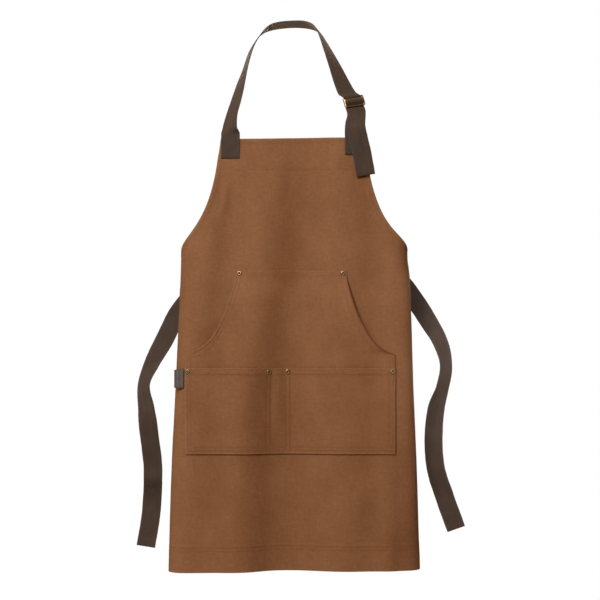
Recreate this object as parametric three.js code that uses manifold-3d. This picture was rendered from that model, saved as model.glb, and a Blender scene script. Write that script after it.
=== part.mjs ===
// Canvas work apron, worn form: a draped panel with two pockets, webbing straps and brass fittings.
// Millimetres, +Z up, the front faces -Y. The origin is the nape, where the neck strap hangs; the tables
// below count from a point level with the nape, on the bib's own plane, and the last lines move it there.
import * as THREE from 'three';
import Module from 'manifold-3d';
import { mergeVertices } from 'three/addons/utils/BufferGeometryUtils.js';

const wasm = await Module();
wasm.setup();

const { degToRad, smoothstep } = THREE.MathUtils;

// Driving sizes of the cloth: u runs across the cut cloth from its centre line, v down from the bib's top.
const CLOTH = 1.2;
const PLY_GAP = 0.3;
const PANEL_LENGTH = 866;
const BIB_HALF = 149;
const CUT_HALF = 310;
const ARM_DROP = 255;
const ARM_SOFT = 2;
const ARM_HARD = 6;
const BIB_TOP = -248;
const FACING = 64;
const SIDE_HEM = 12;
const BOTTOM_HEM = 54;
const HEM_STEP = 2;

// Drape: the sides turn back round the hips, and the front is slightly rounded.
const SIDE_TURN = 125;
const TURN_LENGTH = 100;
const TURN_REACH = 46.6;
const CLOTH_TAKE_UP = 0.985;
const ROUNDNESS = 2.5;
const ARC_STEP = 2;
const LINE_HALF = CUT_HALF + 40;

// Pockets
const HAND_TOP = 265;
const HAND_HEM = 11;
const HAND_TOP_HALF = 112;
const HAND_CORNER = 432;
const MOUTH_POWER = 1.7;
const POCKET_HALF = 213;
const POCKET_BOTTOM = 631;
const TOOL_TOP = 460;
const TOOL_HEM = 13;
const HAND_GAPE = { most: 9, fullFrom: 330, fullTo: 540, fullHalf: 150 };
const TOOL_GAPE = { most: 8, pencil: 8, fullTo: 500 };
const SEAM_REACH = 10;
const DIVIDERS = { left: -45, right: -3.5 };

// Webbing and slider
const WEB = 1.5;
const WEB_WIDTH = 38;
const SEWN_GAP = 0.8;
const LAYER = 2.2;
const BAR_GAP = 0.5;
const SLIDER_PLACE = { x: 122, y: 36, z: -171, lean: 20, roll: 9, turn: 20 };
const SLIDER = { bar: 2.4, pitch: 10, slot: 39.4, bevel: 0.5, corner: 3, slotCorner: 1.2 };
const WRAP = SLIDER.bar / 2 + BAR_GAP + WEB / 2;
const OUTER_WRAP = WRAP + LAYER;
const CROSSING = THREE.MathUtils.radToDeg(Math.asin((WRAP + OUTER_WRAP) / SLIDER.pitch));

// Rivets and tab
const RIVET = { cap: 4.5, dome: 1.5, shank: 1.6, back: 4, disc: 0.8, edge: 0.5, clearance: 0.35, sides: 12 };
const RIVET_CELL = 6;
const CAP_PROFILE = [
  { out: 1, up: 0 },
  { out: 0.955, up: 0.5 },
  { out: 0.7, up: 0.9 },
  { out: 0.45, up: 1 },
  { out: 0.3, up: 0.75 },
];
const TAB = { width: 20, height: 39, thickness: 0.8, top: 462, overPanel: 0.9, fromSeam: 0.5, aimedFrom: 8 };

// How the panel hangs: half of the width seen from the front, sideways sway and depth of the centre line.
const SECTIONS = [
  { down: 0, halfSpan: 228, sway: -2, depth: 16 },
  { down: 230, halfSpan: 231.5, sway: -3, depth: 3 },
  { down: 520, halfSpan: 243.5, sway: -7, depth: -6 },
  { down: PANEL_LENGTH, halfSpan: 257, sway: -5, depth: 2 },
];

// Soft folds at four heights: where each runs across the cloth, and how far it leans the cloth, in degrees.
const FOLD_LEVELS = [30, 210, 545, PANEL_LENGTH];
const FOLDS = [
  { name: 'centre fall', place: [-2, -15, -67, -66], lean: [8, 15, 18, 19], width: 25 },
  { name: 'right plane', place: [50, 45, 50, 52], lean: [-5, -6, -9, -12], width: 40 },
  { name: 'right valley', place: [110, 140, 146, 150], lean: [2, 6, 3, 4], width: 24 },
  { name: 'right rib', place: [175, 185, 188, 192], lean: [0, -3, -4, -6], width: 18 },
  { name: 'left plane', place: [-95, -98, -116, -140], lean: [-5, -10, -9, -6], width: 30 },
  { name: 'left valley', place: [-140, -150, -176, -186], lean: [0, 7, 6, 2], width: 20 },
  { name: 'left edge', place: [-190, -200, -210, -214], lean: [0, -10, -5, -3], width: 20 },
];

// Grid lines that every cloth layer shares, so that layers stay parallel facet by facet.
const COLUMNS = [
  -CUT_HALF, SIDE_HEM - CUT_HALF, -296, -283, -268, -256, -245, -234, -224, -POCKET_HALF, -201, -186, -168,
  -150, -130, -111, -99, -84, -68, -51, -39, -24, -9.5, 2.5, 20, 40, 60, 80, 99, 111, 130, 150, 168, 186,
  201, POCKET_HALF, 224, 234, 245, 256, 268, 283, 296, CUT_HALF - SIDE_HEM, CUT_HALF,
];
const ROWS = [
  0, 36, FACING, FACING + HEM_STEP, 105, 145, 180, 210, 235, ARM_DROP, HAND_TOP, HAND_TOP + HAND_HEM, 310,
  345, 380, 410, HAND_CORNER, TOOL_TOP, TOOL_TOP + TOOL_HEM, 510, 550, 590, POCKET_BOTTOM, 670, 720, 770,
  PANEL_LENGTH - BOTTOM_HEM - HEM_STEP, PANEL_LENGTH - BOTTOM_HEM, PANEL_LENGTH,
];

const NAPE = { x: -6, y: 150, z: 0 };

// The neck strap's way round the neck; turn and rise aim its outer face, 0 and 0 being straight ahead.
const NECK_ROUTE = [
  { x: -128, y: 16, z: -227, turn: -38, rise: 6 },
  { x: -124.5, y: 20, z: -201, turn: -51, rise: 12 },
  { x: -117.5, y: 28, z: -176, turn: -54, rise: 18 },
  { x: -111, y: 38, z: -151, turn: -59, rise: 22 },
  { x: -105, y: 50, z: -126, turn: -68, rise: 26 },
  { x: -98, y: 63, z: -100, turn: -79, rise: 30 },
  { x: -91, y: 79, z: -74, turn: -87, rise: 36 },
  { x: -85, y: 93, z: -56, turn: -92, rise: 42 },
  { x: -76, y: 109, z: -38, turn: -99, rise: 50 },
  { x: -65, y: 124, z: -21, turn: -108, rise: 58 },
  { x: -48, y: 138, z: -8, turn: -130, rise: 68 },
  { ...NAPE, turn: -180, rise: 75 },
  { x: 30, y: 142, z: -3, turn: -232, rise: 68 },
  { x: 48, y: 130, z: -13, turn: -254, rise: 58 },
  { x: 57.5, y: 117, z: -29, turn: -271, rise: 48 },
  { x: 72.5, y: 91, z: -65, turn: -298, rise: 36 },
  { x: 86, y: 69, z: -100, turn: -316, rise: 30 },
  { x: 98.5, y: 54, z: -133, turn: -332, rise: 26 },
];

// The straps' sewn ends on the bib: the strap's middle line, and places down it from the end upwards.
const NECK_SEWN = { u: -125, places: [40, 20, 0, -9] };
const ANCHOR_SEWN = { u: 124, places: [34, 17, 0, -20] };

// Lead-ins and ends beside the slider's outer bars: along the bar, out from the wrap, and past the bar.
const NECK_LEAD = [{ along: -6.5, out: 3, past: 10 }, { along: -2.5, out: 1, past: 5 }];
const NECK_EXIT = { along: 0, out: -2, past: 12 };
const ANCHOR_LEAD = [{ along: 0, out: 0.9, past: 12 }, { along: 0, out: 0.3, past: 0 }];
const ANCHOR_END = [{ along: 0, out: 0, past: 8 }, { along: 0, out: 0, past: 18 }];

// The free tail lies over the bib: cloth places and how far it stands off the bib's face.
const TAIL_ROUTE = [
  { u: 126, v: -24, off: 9 },
  { u: 129, v: 0, off: 7 },
  { u: 136, v: 28, off: 5.5 },
  { u: 149, v: 75, off: 4.5 },
];

// Each waist tie: its sewn end inside the side, its turn round the rear edge, and its way down.
const TIE_SEWN = { places: [272, 288, 304], down: 277 };
const TIE_ROUND = [
  { back: 9, out: -3.5, aim: -0.3, leftDrop: 2, rightDrop: 0 },
  { back: 15, out: 6, aim: 0.9, leftDrop: 9, rightDrop: 3 },
  { back: 9, out: 20, aim: 2, leftDrop: 32, rightDrop: 12 },
];
const LEFT_TIE_ROUTE = [
  { x: -239, y: 116, z: -600, turn: -4, rise: 6 },
  { x: -264, y: 100, z: -652, turn: -6, rise: 10 },
  { x: -291, y: 82, z: -705, turn: -30, rise: 16 },
  { x: -305, y: 72, z: -745, turn: -46, rise: 10 },
  { x: -300, y: 66, z: -790, turn: -26, rise: 0 },
  { x: -294, y: 64, z: -840, turn: 4, rise: -4 },
  { x: -285, y: 66, z: -930, turn: 6, rise: 2 },
  { x: -289, y: 68, z: -1000, turn: 0, rise: -4 },
  { x: -300, y: 62, z: -1071, turn: -4, rise: -8 },
];
const RIGHT_TIE_ROUTE = [
  { x: 241, y: 118, z: -563, turn: 4, rise: 6 },
  { x: 272.5, y: 102, z: -610, turn: 10, rise: 10 },
  { x: 301, y: 84, z: -662, turn: 30, rise: 14 },
  { x: 310.5, y: 74, z: -708, turn: 46, rise: 8 },
  { x: 302.5, y: 68, z: -750, turn: 44, rise: 0 },
  { x: 290, y: 66, z: -794, turn: 20, rise: -4 },
  { x: 284.5, y: 66, z: -860, turn: 12, rise: 0 },
  { x: 289, y: 66, z: -915, turn: 20, rise: 4 },
  { x: 306.5, y: 64, z: -970, turn: 8, rise: 0 },
  { x: 330, y: 60, z: -1036, turn: 0, rise: -6 },
];

// Finishes: colour, roughness and metalness.
const CANVAS = { color: 0x7d5134, roughness: 0.95, metalness: 0 };
const WEBBING = { color: 0x483a31, roughness: 0.9, metalness: 0 };
const TAPE = { color: 0x605249, roughness: 0.9, metalness: 0 };
const BRASS = { color: 0x84704a, roughness: 0.45, metalness: 0.9 };

// Value at one height from a table whose rows run in order: a smooth curve through every row.
function smoothThrough(heights, values, at) {
  const last = heights.length - 1;
  const slope = (i) => {
    const a = Math.max(i - 1, 0);
    const b = Math.min(i + 1, last);
    return (values[b] - values[a]) / (heights[b] - heights[a]);
  };
  let i = 0;
  while (i < last - 1 && at > heights[i + 1]) i += 1;
  const span = heights[i + 1] - heights[i];
  const t = THREE.MathUtils.clamp((at - heights[i]) / span, 0, 1);
  const rise = t * t * (3 - 2 * t);
  const leaving = t * (1 - t) * (1 - t) * span * slope(i);
  const arriving = t * t * (t - 1) * span * slope(i + 1);
  return values[i] + (values[i + 1] - values[i]) * rise + leaving + arriving;
}

function sectionAt(key, v) {
  return smoothThrough(SECTIONS.map((row) => row.down), SECTIONS.map((row) => row[key]), v);
}

// Half width of the cut cloth: the armhole curve, then straight sides.
function cutHalf(v) {
  const t = THREE.MathUtils.clamp(v / ARM_DROP, 0, 1);
  return BIB_HALF + ((CUT_HALF - BIB_HALF) * (t ** ARM_SOFT + t ** ARM_HARD)) / 2;
}

// Which way the cloth heads at one place, as an angle in the horizontal plane.
function headingFor(v) {
  const sway = sectionAt('sway', v);
  const halfSpan = sectionAt('halfSpan', v);
  const turnAt = (side) => (halfSpan - side * sway - TURN_REACH) / CLOTH_TAKE_UP;
  const starts = { left: turnAt(-1), right: turnAt(1) };
  const folds = FOLDS.map((fold) => ({
    place: smoothThrough(FOLD_LEVELS, fold.place, v),
    lean: smoothThrough(FOLD_LEVELS, fold.lean, v),
    width: fold.width,
  }));
  return (u) => {
    let lean = (ROUNDNESS * u) / 100;
    for (const { place, lean: most, width } of folds) {
      lean += most * Math.exp(-(((u - place) / width) ** 2) / 2);
    }
    const start = u < 0 ? starts.left : starts.right;
    lean += Math.sign(u) * SIDE_TURN * smoothstep(Math.abs(u), start, start + TURN_LENGTH);
    return degToRad(lean);
  };
}

// One horizontal line of the cloth, worked out by stepping along its arc both ways from the centre.
const lineCache = new Map();
function clothLine(v) {
  if (lineCache.has(v)) return lineCache.get(v);
  const heading = headingFor(v);
  const steps = LINE_HALF / ARC_STEP;
  const points = new Array(2 * steps + 1);
  points[steps] = new THREE.Vector2(sectionAt('sway', v), sectionAt('depth', v));
  for (const side of [-1, 1]) {
    for (let k = 0; k < steps; k += 1) {
      const angle = heading(side * (k + 0.5) * ARC_STEP);
      const step = new THREE.Vector2(Math.cos(angle), Math.sin(angle)).multiplyScalar(side * ARC_STEP);
      points[steps + side * (k + 1)] = points[steps + side * k].clone().add(step);
    }
  }
  lineCache.set(v, points);
  return points;
}

function clothPlace(u, v) {
  const line = clothLine(v);
  const at = THREE.MathUtils.clamp((u + LINE_HALF) / ARC_STEP, 0, line.length - 1);
  const i = Math.min(Math.floor(at), line.length - 2);
  const flat = line[i].clone().lerp(line[i + 1], at - i);
  return new THREE.Vector3(flat.x, flat.y, BIB_TOP - v);
}

// Place, outward face and across-cloth direction at one spot of the cloth.
function clothFrame(u, v) {
  const reach = 3;
  const across = clothPlace(u + reach, v).sub(clothPlace(u - reach, v)).normalize();
  const down = clothPlace(u, v + reach).sub(clothPlace(u, v - reach)).normalize();
  const face = new THREE.Vector3().crossVectors(down, across).normalize();
  return { place: clothPlace(u, v), face, across };
}

function offCloth(u, v, off) {
  const { place, face } = clothFrame(u, v);
  return place.addScaledVector(face, off);
}

function solidFrom(spots, triangles) {
  const vertProperties = new Float32Array(spots.flatMap((spot) => spot.toArray()));
  const triVerts = new Uint32Array(triangles);
  return new wasm.Manifold(new wasm.Mesh({ numProp: 3, vertProperties, triVerts }));
}

function solidOf(geometry) {
  geometry.deleteAttribute('normal');
  geometry.deleteAttribute('uv');
  const merged = mergeVertices(geometry, 1e-3);
  const vertProperties = new Float32Array(merged.attributes.position.array);
  const triVerts = new Uint32Array(merged.index.array);
  return new wasm.Manifold(new wasm.Mesh({ numProp: 3, vertProperties, triVerts }));
}

// A closed wall between two faces of spots laid out in equal rows; the front face comes first.
function wallBetween(front, back, stride) {
  const layer = front.length;
  const rows = layer / stride;
  const triangles = [];
  const quad = (a, b, c, d) => triangles.push(a, b, c, a, c, d);
  for (let j = 0; j < rows; j += 1) {
    for (let i = 0; i < stride; i += 1) {
      const a = j * stride + i;
      const right = a + 1;
      const below = a + stride;
      const inRow = i + 1 < stride;
      const inColumn = j + 1 < rows;
      if (inRow && inColumn) {
        quad(a, below, below + 1, right);
        quad(layer + a, layer + right, layer + below + 1, layer + below);
      }
      if (inRow && j === 0) quad(a, right, layer + right, layer + a);
      if (inRow && !inColumn) quad(layer + a, layer + right, right, a);
      if (inColumn && i === 0) quad(a, layer + a, layer + below, below);
      if (inColumn && !inRow) quad(a, below, layer + below, layer + a);
    }
  }
  return solidFrom([...front, ...back], triangles);
}

// A layer of cloth on the shared grid, between two offsets from the panel's face.
function clothLayer(columns, rows, frontOff, backOff) {
  const spotsAt = (off) => rows.flatMap((v) => columns.map((u) => offCloth(u, v, off(u, v))));
  return wallBetween(spotsAt(frontOff), spotsAt(backOff), columns.length);
}

// A thick block that follows the drape beyond one armhole's edge, to cut the armhole out of the panel.
function armholeBlock(side) {
  const reach = 16;
  const above = 20;
  const beyond = CUT_HALF + 25;
  const rowCount = 18;
  const columnCount = 9;
  const spotsAt = (off) => {
    const spots = [];
    for (let j = 0; j <= rowCount; j += 1) {
      const v = THREE.MathUtils.lerp(-above, ARM_DROP, j / rowCount);
      for (let i = 0; i <= columnCount; i += 1) {
        const t = side < 0 ? 1 - i / columnCount : i / columnCount;
        spots.push(offCloth(side * THREE.MathUtils.lerp(cutHalf(v), beyond, t), v, off));
      }
    }
    return spots;
  };
  return wallBetween(spotsAt(reach), spotsAt(-reach), columnCount + 1);
}

const within = (lines, low, high) => lines.filter((line) => line >= low && line <= high);

// How far the panel's back lies behind its face: two layers in the facing and the hems.
function panelBack(u, v) {
  const inFacing = v <= FACING;
  const inBottomHem = v >= PANEL_LENGTH - BOTTOM_HEM;
  const inSideHem = Math.abs(u) >= CUT_HALF - SIDE_HEM;
  return inFacing || inBottomHem || inSideHem ? -2 * CLOTH : -CLOTH;
}

// The hand pocket stands off the panel in the middle and lies on it along its sewn edges.
function handBack(u, v) {
  const { most, fullFrom, fullTo, fullHalf } = HAND_GAPE;
  const opened = smoothstep(v, HAND_TOP + HAND_HEM, fullFrom);
  const closing = smoothstep(v, fullTo, POCKET_BOTTOM - SEAM_REACH);
  const sides = 1 - smoothstep(Math.abs(u), fullHalf, POCKET_HALF - 2 * RIVET_CELL);
  return PLY_GAP + most * opened * (1 - closing) * sides;
}

function handFront(u, v) {
  return handBack(u, v) + (v <= HAND_TOP + HAND_HEM ? 2 * CLOTH : CLOTH);
}

// Each compartment of the tool pocket bulges between its seams and is most open at its mouth.
function toolBack(u, v) {
  const seams = [-POCKET_HALF + RIVET_CELL, DIVIDERS.left, DIVIDERS.right, POCKET_HALF - RIVET_CELL];
  const gapes = [TOOL_GAPE.most, TOOL_GAPE.pencil, TOOL_GAPE.most];
  const closing = smoothstep(v, TOOL_GAPE.fullTo, POCKET_BOTTOM - SEAM_REACH);
  let bulge = 0;
  for (let k = 0; k < gapes.length; k += 1) {
    const low = seams[k] + RIVET_CELL;
    const high = seams[k + 1] - RIVET_CELL;
    if (u > low && u < high) {
      const t = (u - low) / (high - low);
      bulge = gapes[k] * (1 - (2 * t - 1) ** 4);
    }
  }
  return handBack(u, v) + CLOTH + PLY_GAP + bulge * (1 - closing);
}

function toolFront(u, v) {
  return toolBack(u, v) + (v <= TOOL_TOP + TOOL_HEM ? 2 * CLOTH : CLOTH);
}

// The hand pocket's outline at one height: its curved mouths, then straight sides.
function handHalf(v) {
  const t = Math.min((v - HAND_TOP) / (HAND_CORNER - HAND_TOP), 1);
  const bow = (1 - t ** MOUTH_POWER) ** (1 / MOUTH_POWER);
  return POCKET_HALF - (POCKET_HALF - HAND_TOP_HALF) * bow;
}

// A prism that runs front to back through the hand pocket's outline.
function handOutlinePrism() {
  const depth = 300;
  const steps = 12;
  const clear = 40;
  const step = 3;
  const outline = new THREE.Shape();
  const rim = [];
  for (let k = 0; k <= steps; k += 1) {
    const v = HAND_TOP + (HAND_CORNER - HAND_TOP) * Math.sin((k / steps) * (Math.PI / 2));
    rim.push({ u: handHalf(v), v });
  }
  const beyond = { u: POCKET_HALF + clear, v: HAND_CORNER + step };
  const right = [...rim, beyond, { u: beyond.u, v: POCKET_BOTTOM + clear }];
  const left = right.map(({ u, v }) => ({ u: -u, v })).reverse();
  const top = within(COLUMNS, -HAND_TOP_HALF, HAND_TOP_HALF).map((u) => ({ u, v: HAND_TOP - step }));
  const loop = [...left, ...top, ...right].map(({ u, v }) => clothPlace(u, v));
  outline.setFromPoints(loop.map((p) => new THREE.Vector2(p.x, p.z)));
  const prism = new THREE.ExtrudeGeometry(outline, { depth, bevelEnabled: false });
  prism.rotateX(Math.PI / 2);
  prism.translate(0, depth / 2, 0);
  return solidOf(prism);
}

// Aims a face: turn swings it round the vertical from straight ahead, rise tips it up.
function faceTo(turn, rise) {
  const flat = Math.cos(degToRad(rise));
  const swing = degToRad(turn);
  return new THREE.Vector3(Math.sin(swing) * flat, -Math.cos(swing) * flat, Math.sin(degToRad(rise)));
}

function stationOf({ x, y, z, turn, rise }) {
  return { place: new THREE.Vector3(x, y, z), face: faceTo(turn, rise) };
}

function stationOnCloth({ u, v, off }) {
  const { place, face } = clothFrame(u, v);
  return { place: place.addScaledVector(face, off), face };
}

// A strap of webbing along its stations, as a wall between its two faces. A station states its face, and
// its side where the strap runs askew.
function strap(stations, stepsPerSpan) {
  const route = new THREE.CatmullRomCurve3(stations.map((s) => s.place), false, 'centripetal');
  const sides = new THREE.CatmullRomCurve3(stations.map(({ face, side }, k) => {
    if (side) return side;
    const along = route.getTangent(k / (stations.length - 1));
    return new THREE.Vector3().crossVectors(face, along).normalize();
  }), false, 'centripetal');
  const steps = (stations.length - 1) * stepsPerSpan;
  const front = [];
  const back = [];
  for (let k = 0; k <= steps; k += 1) {
    const t = k / steps;
    const place = route.getPoint(t);
    const along = route.getTangent(t);
    const side = sides.getPoint(t).normalize();
    const face = new THREE.Vector3().crossVectors(along, side).normalize();
    for (const edge of [-0.5, 0.5]) {
      const spot = place.clone().addScaledVector(side, edge * WEB_WIDTH);
      front.push(spot.clone().addScaledVector(face, WEB / 2));
      back.push(spot.addScaledVector(face, -WEB / 2));
    }
  }
  return wallBetween(front, back, 2);
}

// The slider's own frame: X along the bars, Y to the back, Z up through the three bars.
const sliderFrame = new THREE.Matrix4()
  .makeRotationFromEuler(
    new THREE.Euler(
      degToRad(-SLIDER_PLACE.lean),
      degToRad(-SLIDER_PLACE.roll),
      degToRad(SLIDER_PLACE.turn),
      'ZYX',
    ),
  )
  .setPosition(SLIDER_PLACE.x, SLIDER_PLACE.y, SLIDER_PLACE.z);

// Points of a strap bent round one bar, at a distance from the bar's middle; 0 degrees is behind the bar.
function bend(barZ, radius, from, to, count) {
  const points = [];
  for (let k = 0; k < count; k += 1) {
    const angle = degToRad(from + ((to - from) * k) / (count - 1));
    points.push(new THREE.Vector3(0, radius * Math.cos(angle), barZ + radius * Math.sin(angle)));
  }
  return points;
}

// Points beside the slider's top bar (end 1) or bottom bar (end -1), from rows of a lead table.
function besideBar(rows, end, wrap) {
  return rows.map(({ along, out, past }) => (
    new THREE.Vector3(along, wrap + out, end * (SLIDER.pitch + past))
  ));
}

// Stations in the slider's frame, where a strap's side lies along the bars.
function stationsInSlider(points, way) {
  const side = new THREE.Vector3(way, 0, 0).transformDirection(sliderFrame);
  return points.map((point) => ({ place: point.clone().applyMatrix4(sliderFrame), side }));
}

function sewnEnd({ u, places }) {
  return places.map((v) => stationOnCloth({ u, v, off: SEWN_GAP + WEB / 2 }));
}

function neckStrap() {
  const threaded = stationsInSlider([
    ...besideBar(NECK_LEAD, 1, WRAP),
    ...bend(SLIDER.pitch, WRAP, 10, -CROSSING, 3),
    ...bend(0, OUTER_WRAP, 180 - CROSSING, 180 + CROSSING, 5),
    ...bend(-SLIDER.pitch, WRAP, CROSSING, 0, 3),
    ...besideBar([NECK_EXIT], -1, WRAP),
  ], 1);
  const tail = TAIL_ROUTE.map(stationOnCloth);
  return strap([...sewnEnd(NECK_SEWN), ...NECK_ROUTE.map(stationOf), ...threaded, ...tail], 2);
}

function anchorStrap() {
  const looped = stationsInSlider([
    ...besideBar(ANCHOR_LEAD, -1, OUTER_WRAP + LAYER),
    ...bend(0, WRAP, -15, 180 + CROSSING, 9),
    ...bend(-SLIDER.pitch, OUTER_WRAP, CROSSING, 0, 3),
    ...besideBar(ANCHOR_END, -1, OUTER_WRAP),
  ], -1);
  return strap([...sewnEnd(ANCHOR_SEWN), ...looped], 2);
}

function strapSlider() {
  const { bar, pitch, slot, bevel, corner, slotCorner } = SLIDER;
  const half = { x: slot / 2 + bar - bevel, z: pitch + bar / 2 - bevel };
  const rounded = (shape, x0, x1, z0, z1, r) => {
    shape.moveTo(x0 + r, z0);
    shape.lineTo(x1 - r, z0);
    shape.absarc(x1 - r, z0 + r, r, -Math.PI / 2, 0, false);
    shape.absarc(x1 - r, z1 - r, r, 0, Math.PI / 2, false);
    shape.absarc(x0 + r, z1 - r, r, Math.PI / 2, Math.PI, false);
    shape.absarc(x0 + r, z0 + r, r, Math.PI, 1.5 * Math.PI, false);
    return shape;
  };
  const outline = rounded(new THREE.Shape(), -half.x, half.x, -half.z, half.z, corner);
  for (const middle of [-pitch / 2, pitch / 2]) {
    const reach = (pitch - bar) / 2 + bevel;
    const across = slot / 2 + bevel;
    const hole = new THREE.Path();
    outline.holes.push(rounded(hole, -across, across, middle - reach, middle + reach, slotCorner));
  }
  const depth = bar - 2 * bevel;
  const frame = new THREE.ExtrudeGeometry(outline, {
    depth,
    bevelEnabled: true,
    bevelSize: bevel,
    bevelThickness: bevel,
    bevelSegments: 1,
    curveSegments: 3,
  });
  frame.translate(0, 0, -depth / 2);
  frame.rotateX(Math.PI / 2);
  return frame;
}

function waistTie(side, dropKey, route) {
  const off = -(2 * CLOTH + SEWN_GAP + WEB / 2);
  const sewn = TIE_SEWN.places.map((u) => {
    const { place, face } = stationOnCloth({ u: side * u, v: TIE_SEWN.down, off });
    return { place, face: face.negate() };
  });
  const rim = clothFrame(side * CUT_HALF, TIE_SEWN.down);
  const back = rim.across.clone().multiplyScalar(side);
  const round = TIE_ROUND.map((row) => ({
    place: rim.place.clone().addScaledVector(back, row.back).addScaledVector(rim.face, row.out)
      .add(new THREE.Vector3(0, 0, -row[dropKey])),
    face: rim.face.clone().negate().addScaledVector(back, -row.aim).normalize(),
  }));
  return strap([...sewn, ...round, ...route.map(stationOf)], 3);
}

// A turned solid about Z from rows of radius and height, bottom first, closed by a point at each end.
function turned(profile, sides) {
  const spots = [];
  const triangles = [];
  for (const { radius, height } of profile) {
    for (let k = 0; k < sides; k += 1) {
      const angle = (2 * Math.PI * k) / sides;
      spots.push(new THREE.Vector3(radius * Math.cos(angle), radius * Math.sin(angle), height));
    }
  }
  const bottom = spots.push(new THREE.Vector3(0, 0, profile[0].height)) - 1;
  const top = spots.push(new THREE.Vector3(0, 0, profile[profile.length - 1].height)) - 1;
  const lastRing = (profile.length - 1) * sides;
  for (let k = 0; k < sides; k += 1) {
    const next = (k + 1) % sides;
    triangles.push(bottom, next, k, top, lastRing + k, lastRing + next);
    for (let ring = 0; ring < lastRing; ring += sides) {
      triangles.push(ring + k, ring + next, ring + sides + next);
      triangles.push(ring + k, ring + sides + next, ring + sides + k);
    }
  }
  return solidFrom(spots, triangles);
}

// Rivets: the cloth place of each, and the layers that it holds between its cap and its back disc.
const HAND_RIVET_ROW = HAND_TOP + HAND_HEM / 2;
const TOOL_RIVET_ROW = TOOL_TOP + TOOL_HEM / 2;
const HAND_RIVET_OUT = HAND_TOP_HALF - 7;
const TOOL_RIVET_OUT = POCKET_HALF - RIVET_CELL;
const RIVETS = [
  { name: 'rivet_hand_left', u: -HAND_RIVET_OUT, v: HAND_RIVET_ROW, from: panelBack, to: handFront },
  { name: 'rivet_hand_right', u: HAND_RIVET_OUT, v: HAND_RIVET_ROW, from: panelBack, to: handFront },
  { name: 'rivet_tool_left', u: -TOOL_RIVET_OUT, v: TOOL_RIVET_ROW, from: panelBack, to: toolFront },
  { name: 'rivet_divider_left', u: DIVIDERS.left, v: TOOL_RIVET_ROW, from: handBack, to: toolFront },
  { name: 'rivet_divider_right', u: DIVIDERS.right, v: TOOL_RIVET_ROW, from: handBack, to: toolFront },
  { name: 'rivet_tool_right', u: TOOL_RIVET_OUT, v: TOOL_RIVET_ROW, from: panelBack, to: toolFront },
];

// The frame of a rivet's own flat cell of cloth, with Z out of the cloth's face.
function rivetFrame({ u, v, from }) {
  const up = v < TOOL_TOP ? HAND_TOP : TOOL_TOP;
  const down = v < TOOL_TOP ? HAND_TOP + HAND_HEM : TOOL_TOP + TOOL_HEM;
  const base = (cu, cv) => offCloth(cu, cv, from(cu, cv));
  const corners = [-1, 1].flatMap((side) => [up, down].map((cv) => base(u + side * RIVET_CELL, cv)));
  const middle = corners.reduce((sum, c) => sum.add(c), new THREE.Vector3()).divideScalar(corners.length);
  const across = corners[2].clone().add(corners[3]).sub(corners[0]).sub(corners[1]).normalize();
  const fall = corners[1].clone().add(corners[3]).sub(corners[0]).sub(corners[2]).normalize();
  const face = new THREE.Vector3().crossVectors(fall, across).normalize();
  return new THREE.Matrix4().makeBasis(across, new THREE.Vector3().crossVectors(face, across), face)
    .setPosition(middle);
}

function rivetSolid(stack) {
  const { cap, dome, shank, back, disc, edge, clearance, sides } = RIVET;
  const seat = stack + clearance;
  return turned([
    { radius: back - edge, height: -clearance - disc },
    { radius: back, height: -clearance - disc / 2 },
    { radius: back, height: -clearance },
    { radius: shank, height: -clearance },
    { radius: shank, height: seat },
    ...CAP_PROFILE.map(({ out, up }) => ({ radius: cap * out, height: seat + dome * up })),
  ], sides);
}

function rivetHole(frame) {
  const reach = 12;
  const radius = RIVET.shank + RIVET.clearance;
  const drill = turned([{ radius, height: -reach }, { radius, height: reach }], RIVET.sides);
  return drill.transform(frame.toArray());
}

// The blank tab starts at the pocket's left seam and stands straight out past the turning cloth.
function sideTab() {
  const { place, face } = clothFrame(-POCKET_HALF, TAB.top + TAB.height / 2);
  const { across } = clothFrame(TAB.aimedFrom - POCKET_HALF, TAB.top + TAB.height / 2);
  const spotsAt = (off) => [0, 1].flatMap((down) => [1, 0].map((out) => {
    const top = place.clone().setZ(BIB_TOP - TAB.top - down * TAB.height);
    return top.addScaledVector(across, -TAB.fromSeam - out * TAB.width).addScaledVector(face, off);
  }));
  return wallBetween(spotsAt(TAB.overPanel + TAB.thickness), spotsAt(TAB.overPanel), 2);
}

function meshFrom(name, solid, finish) {
  const { numProp, vertProperties, triVerts } = solid.getMesh();
  const positions = new Float32Array((vertProperties.length / numProp) * 3);
  for (let k = 0; k < positions.length / 3; k += 1) {
    positions.set(vertProperties.subarray(k * numProp, k * numProp + 3), k * 3);
  }
  const geometry = new THREE.BufferGeometry();
  geometry.setAttribute('position', new THREE.BufferAttribute(positions, 3));
  geometry.setIndex(new THREE.BufferAttribute(new Uint32Array(triVerts), 1));
  geometry.computeVertexNormals();
  const mesh = new THREE.Mesh(geometry, new THREE.MeshStandardMaterial(finish));
  mesh.name = name;
  return mesh;
}

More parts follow.
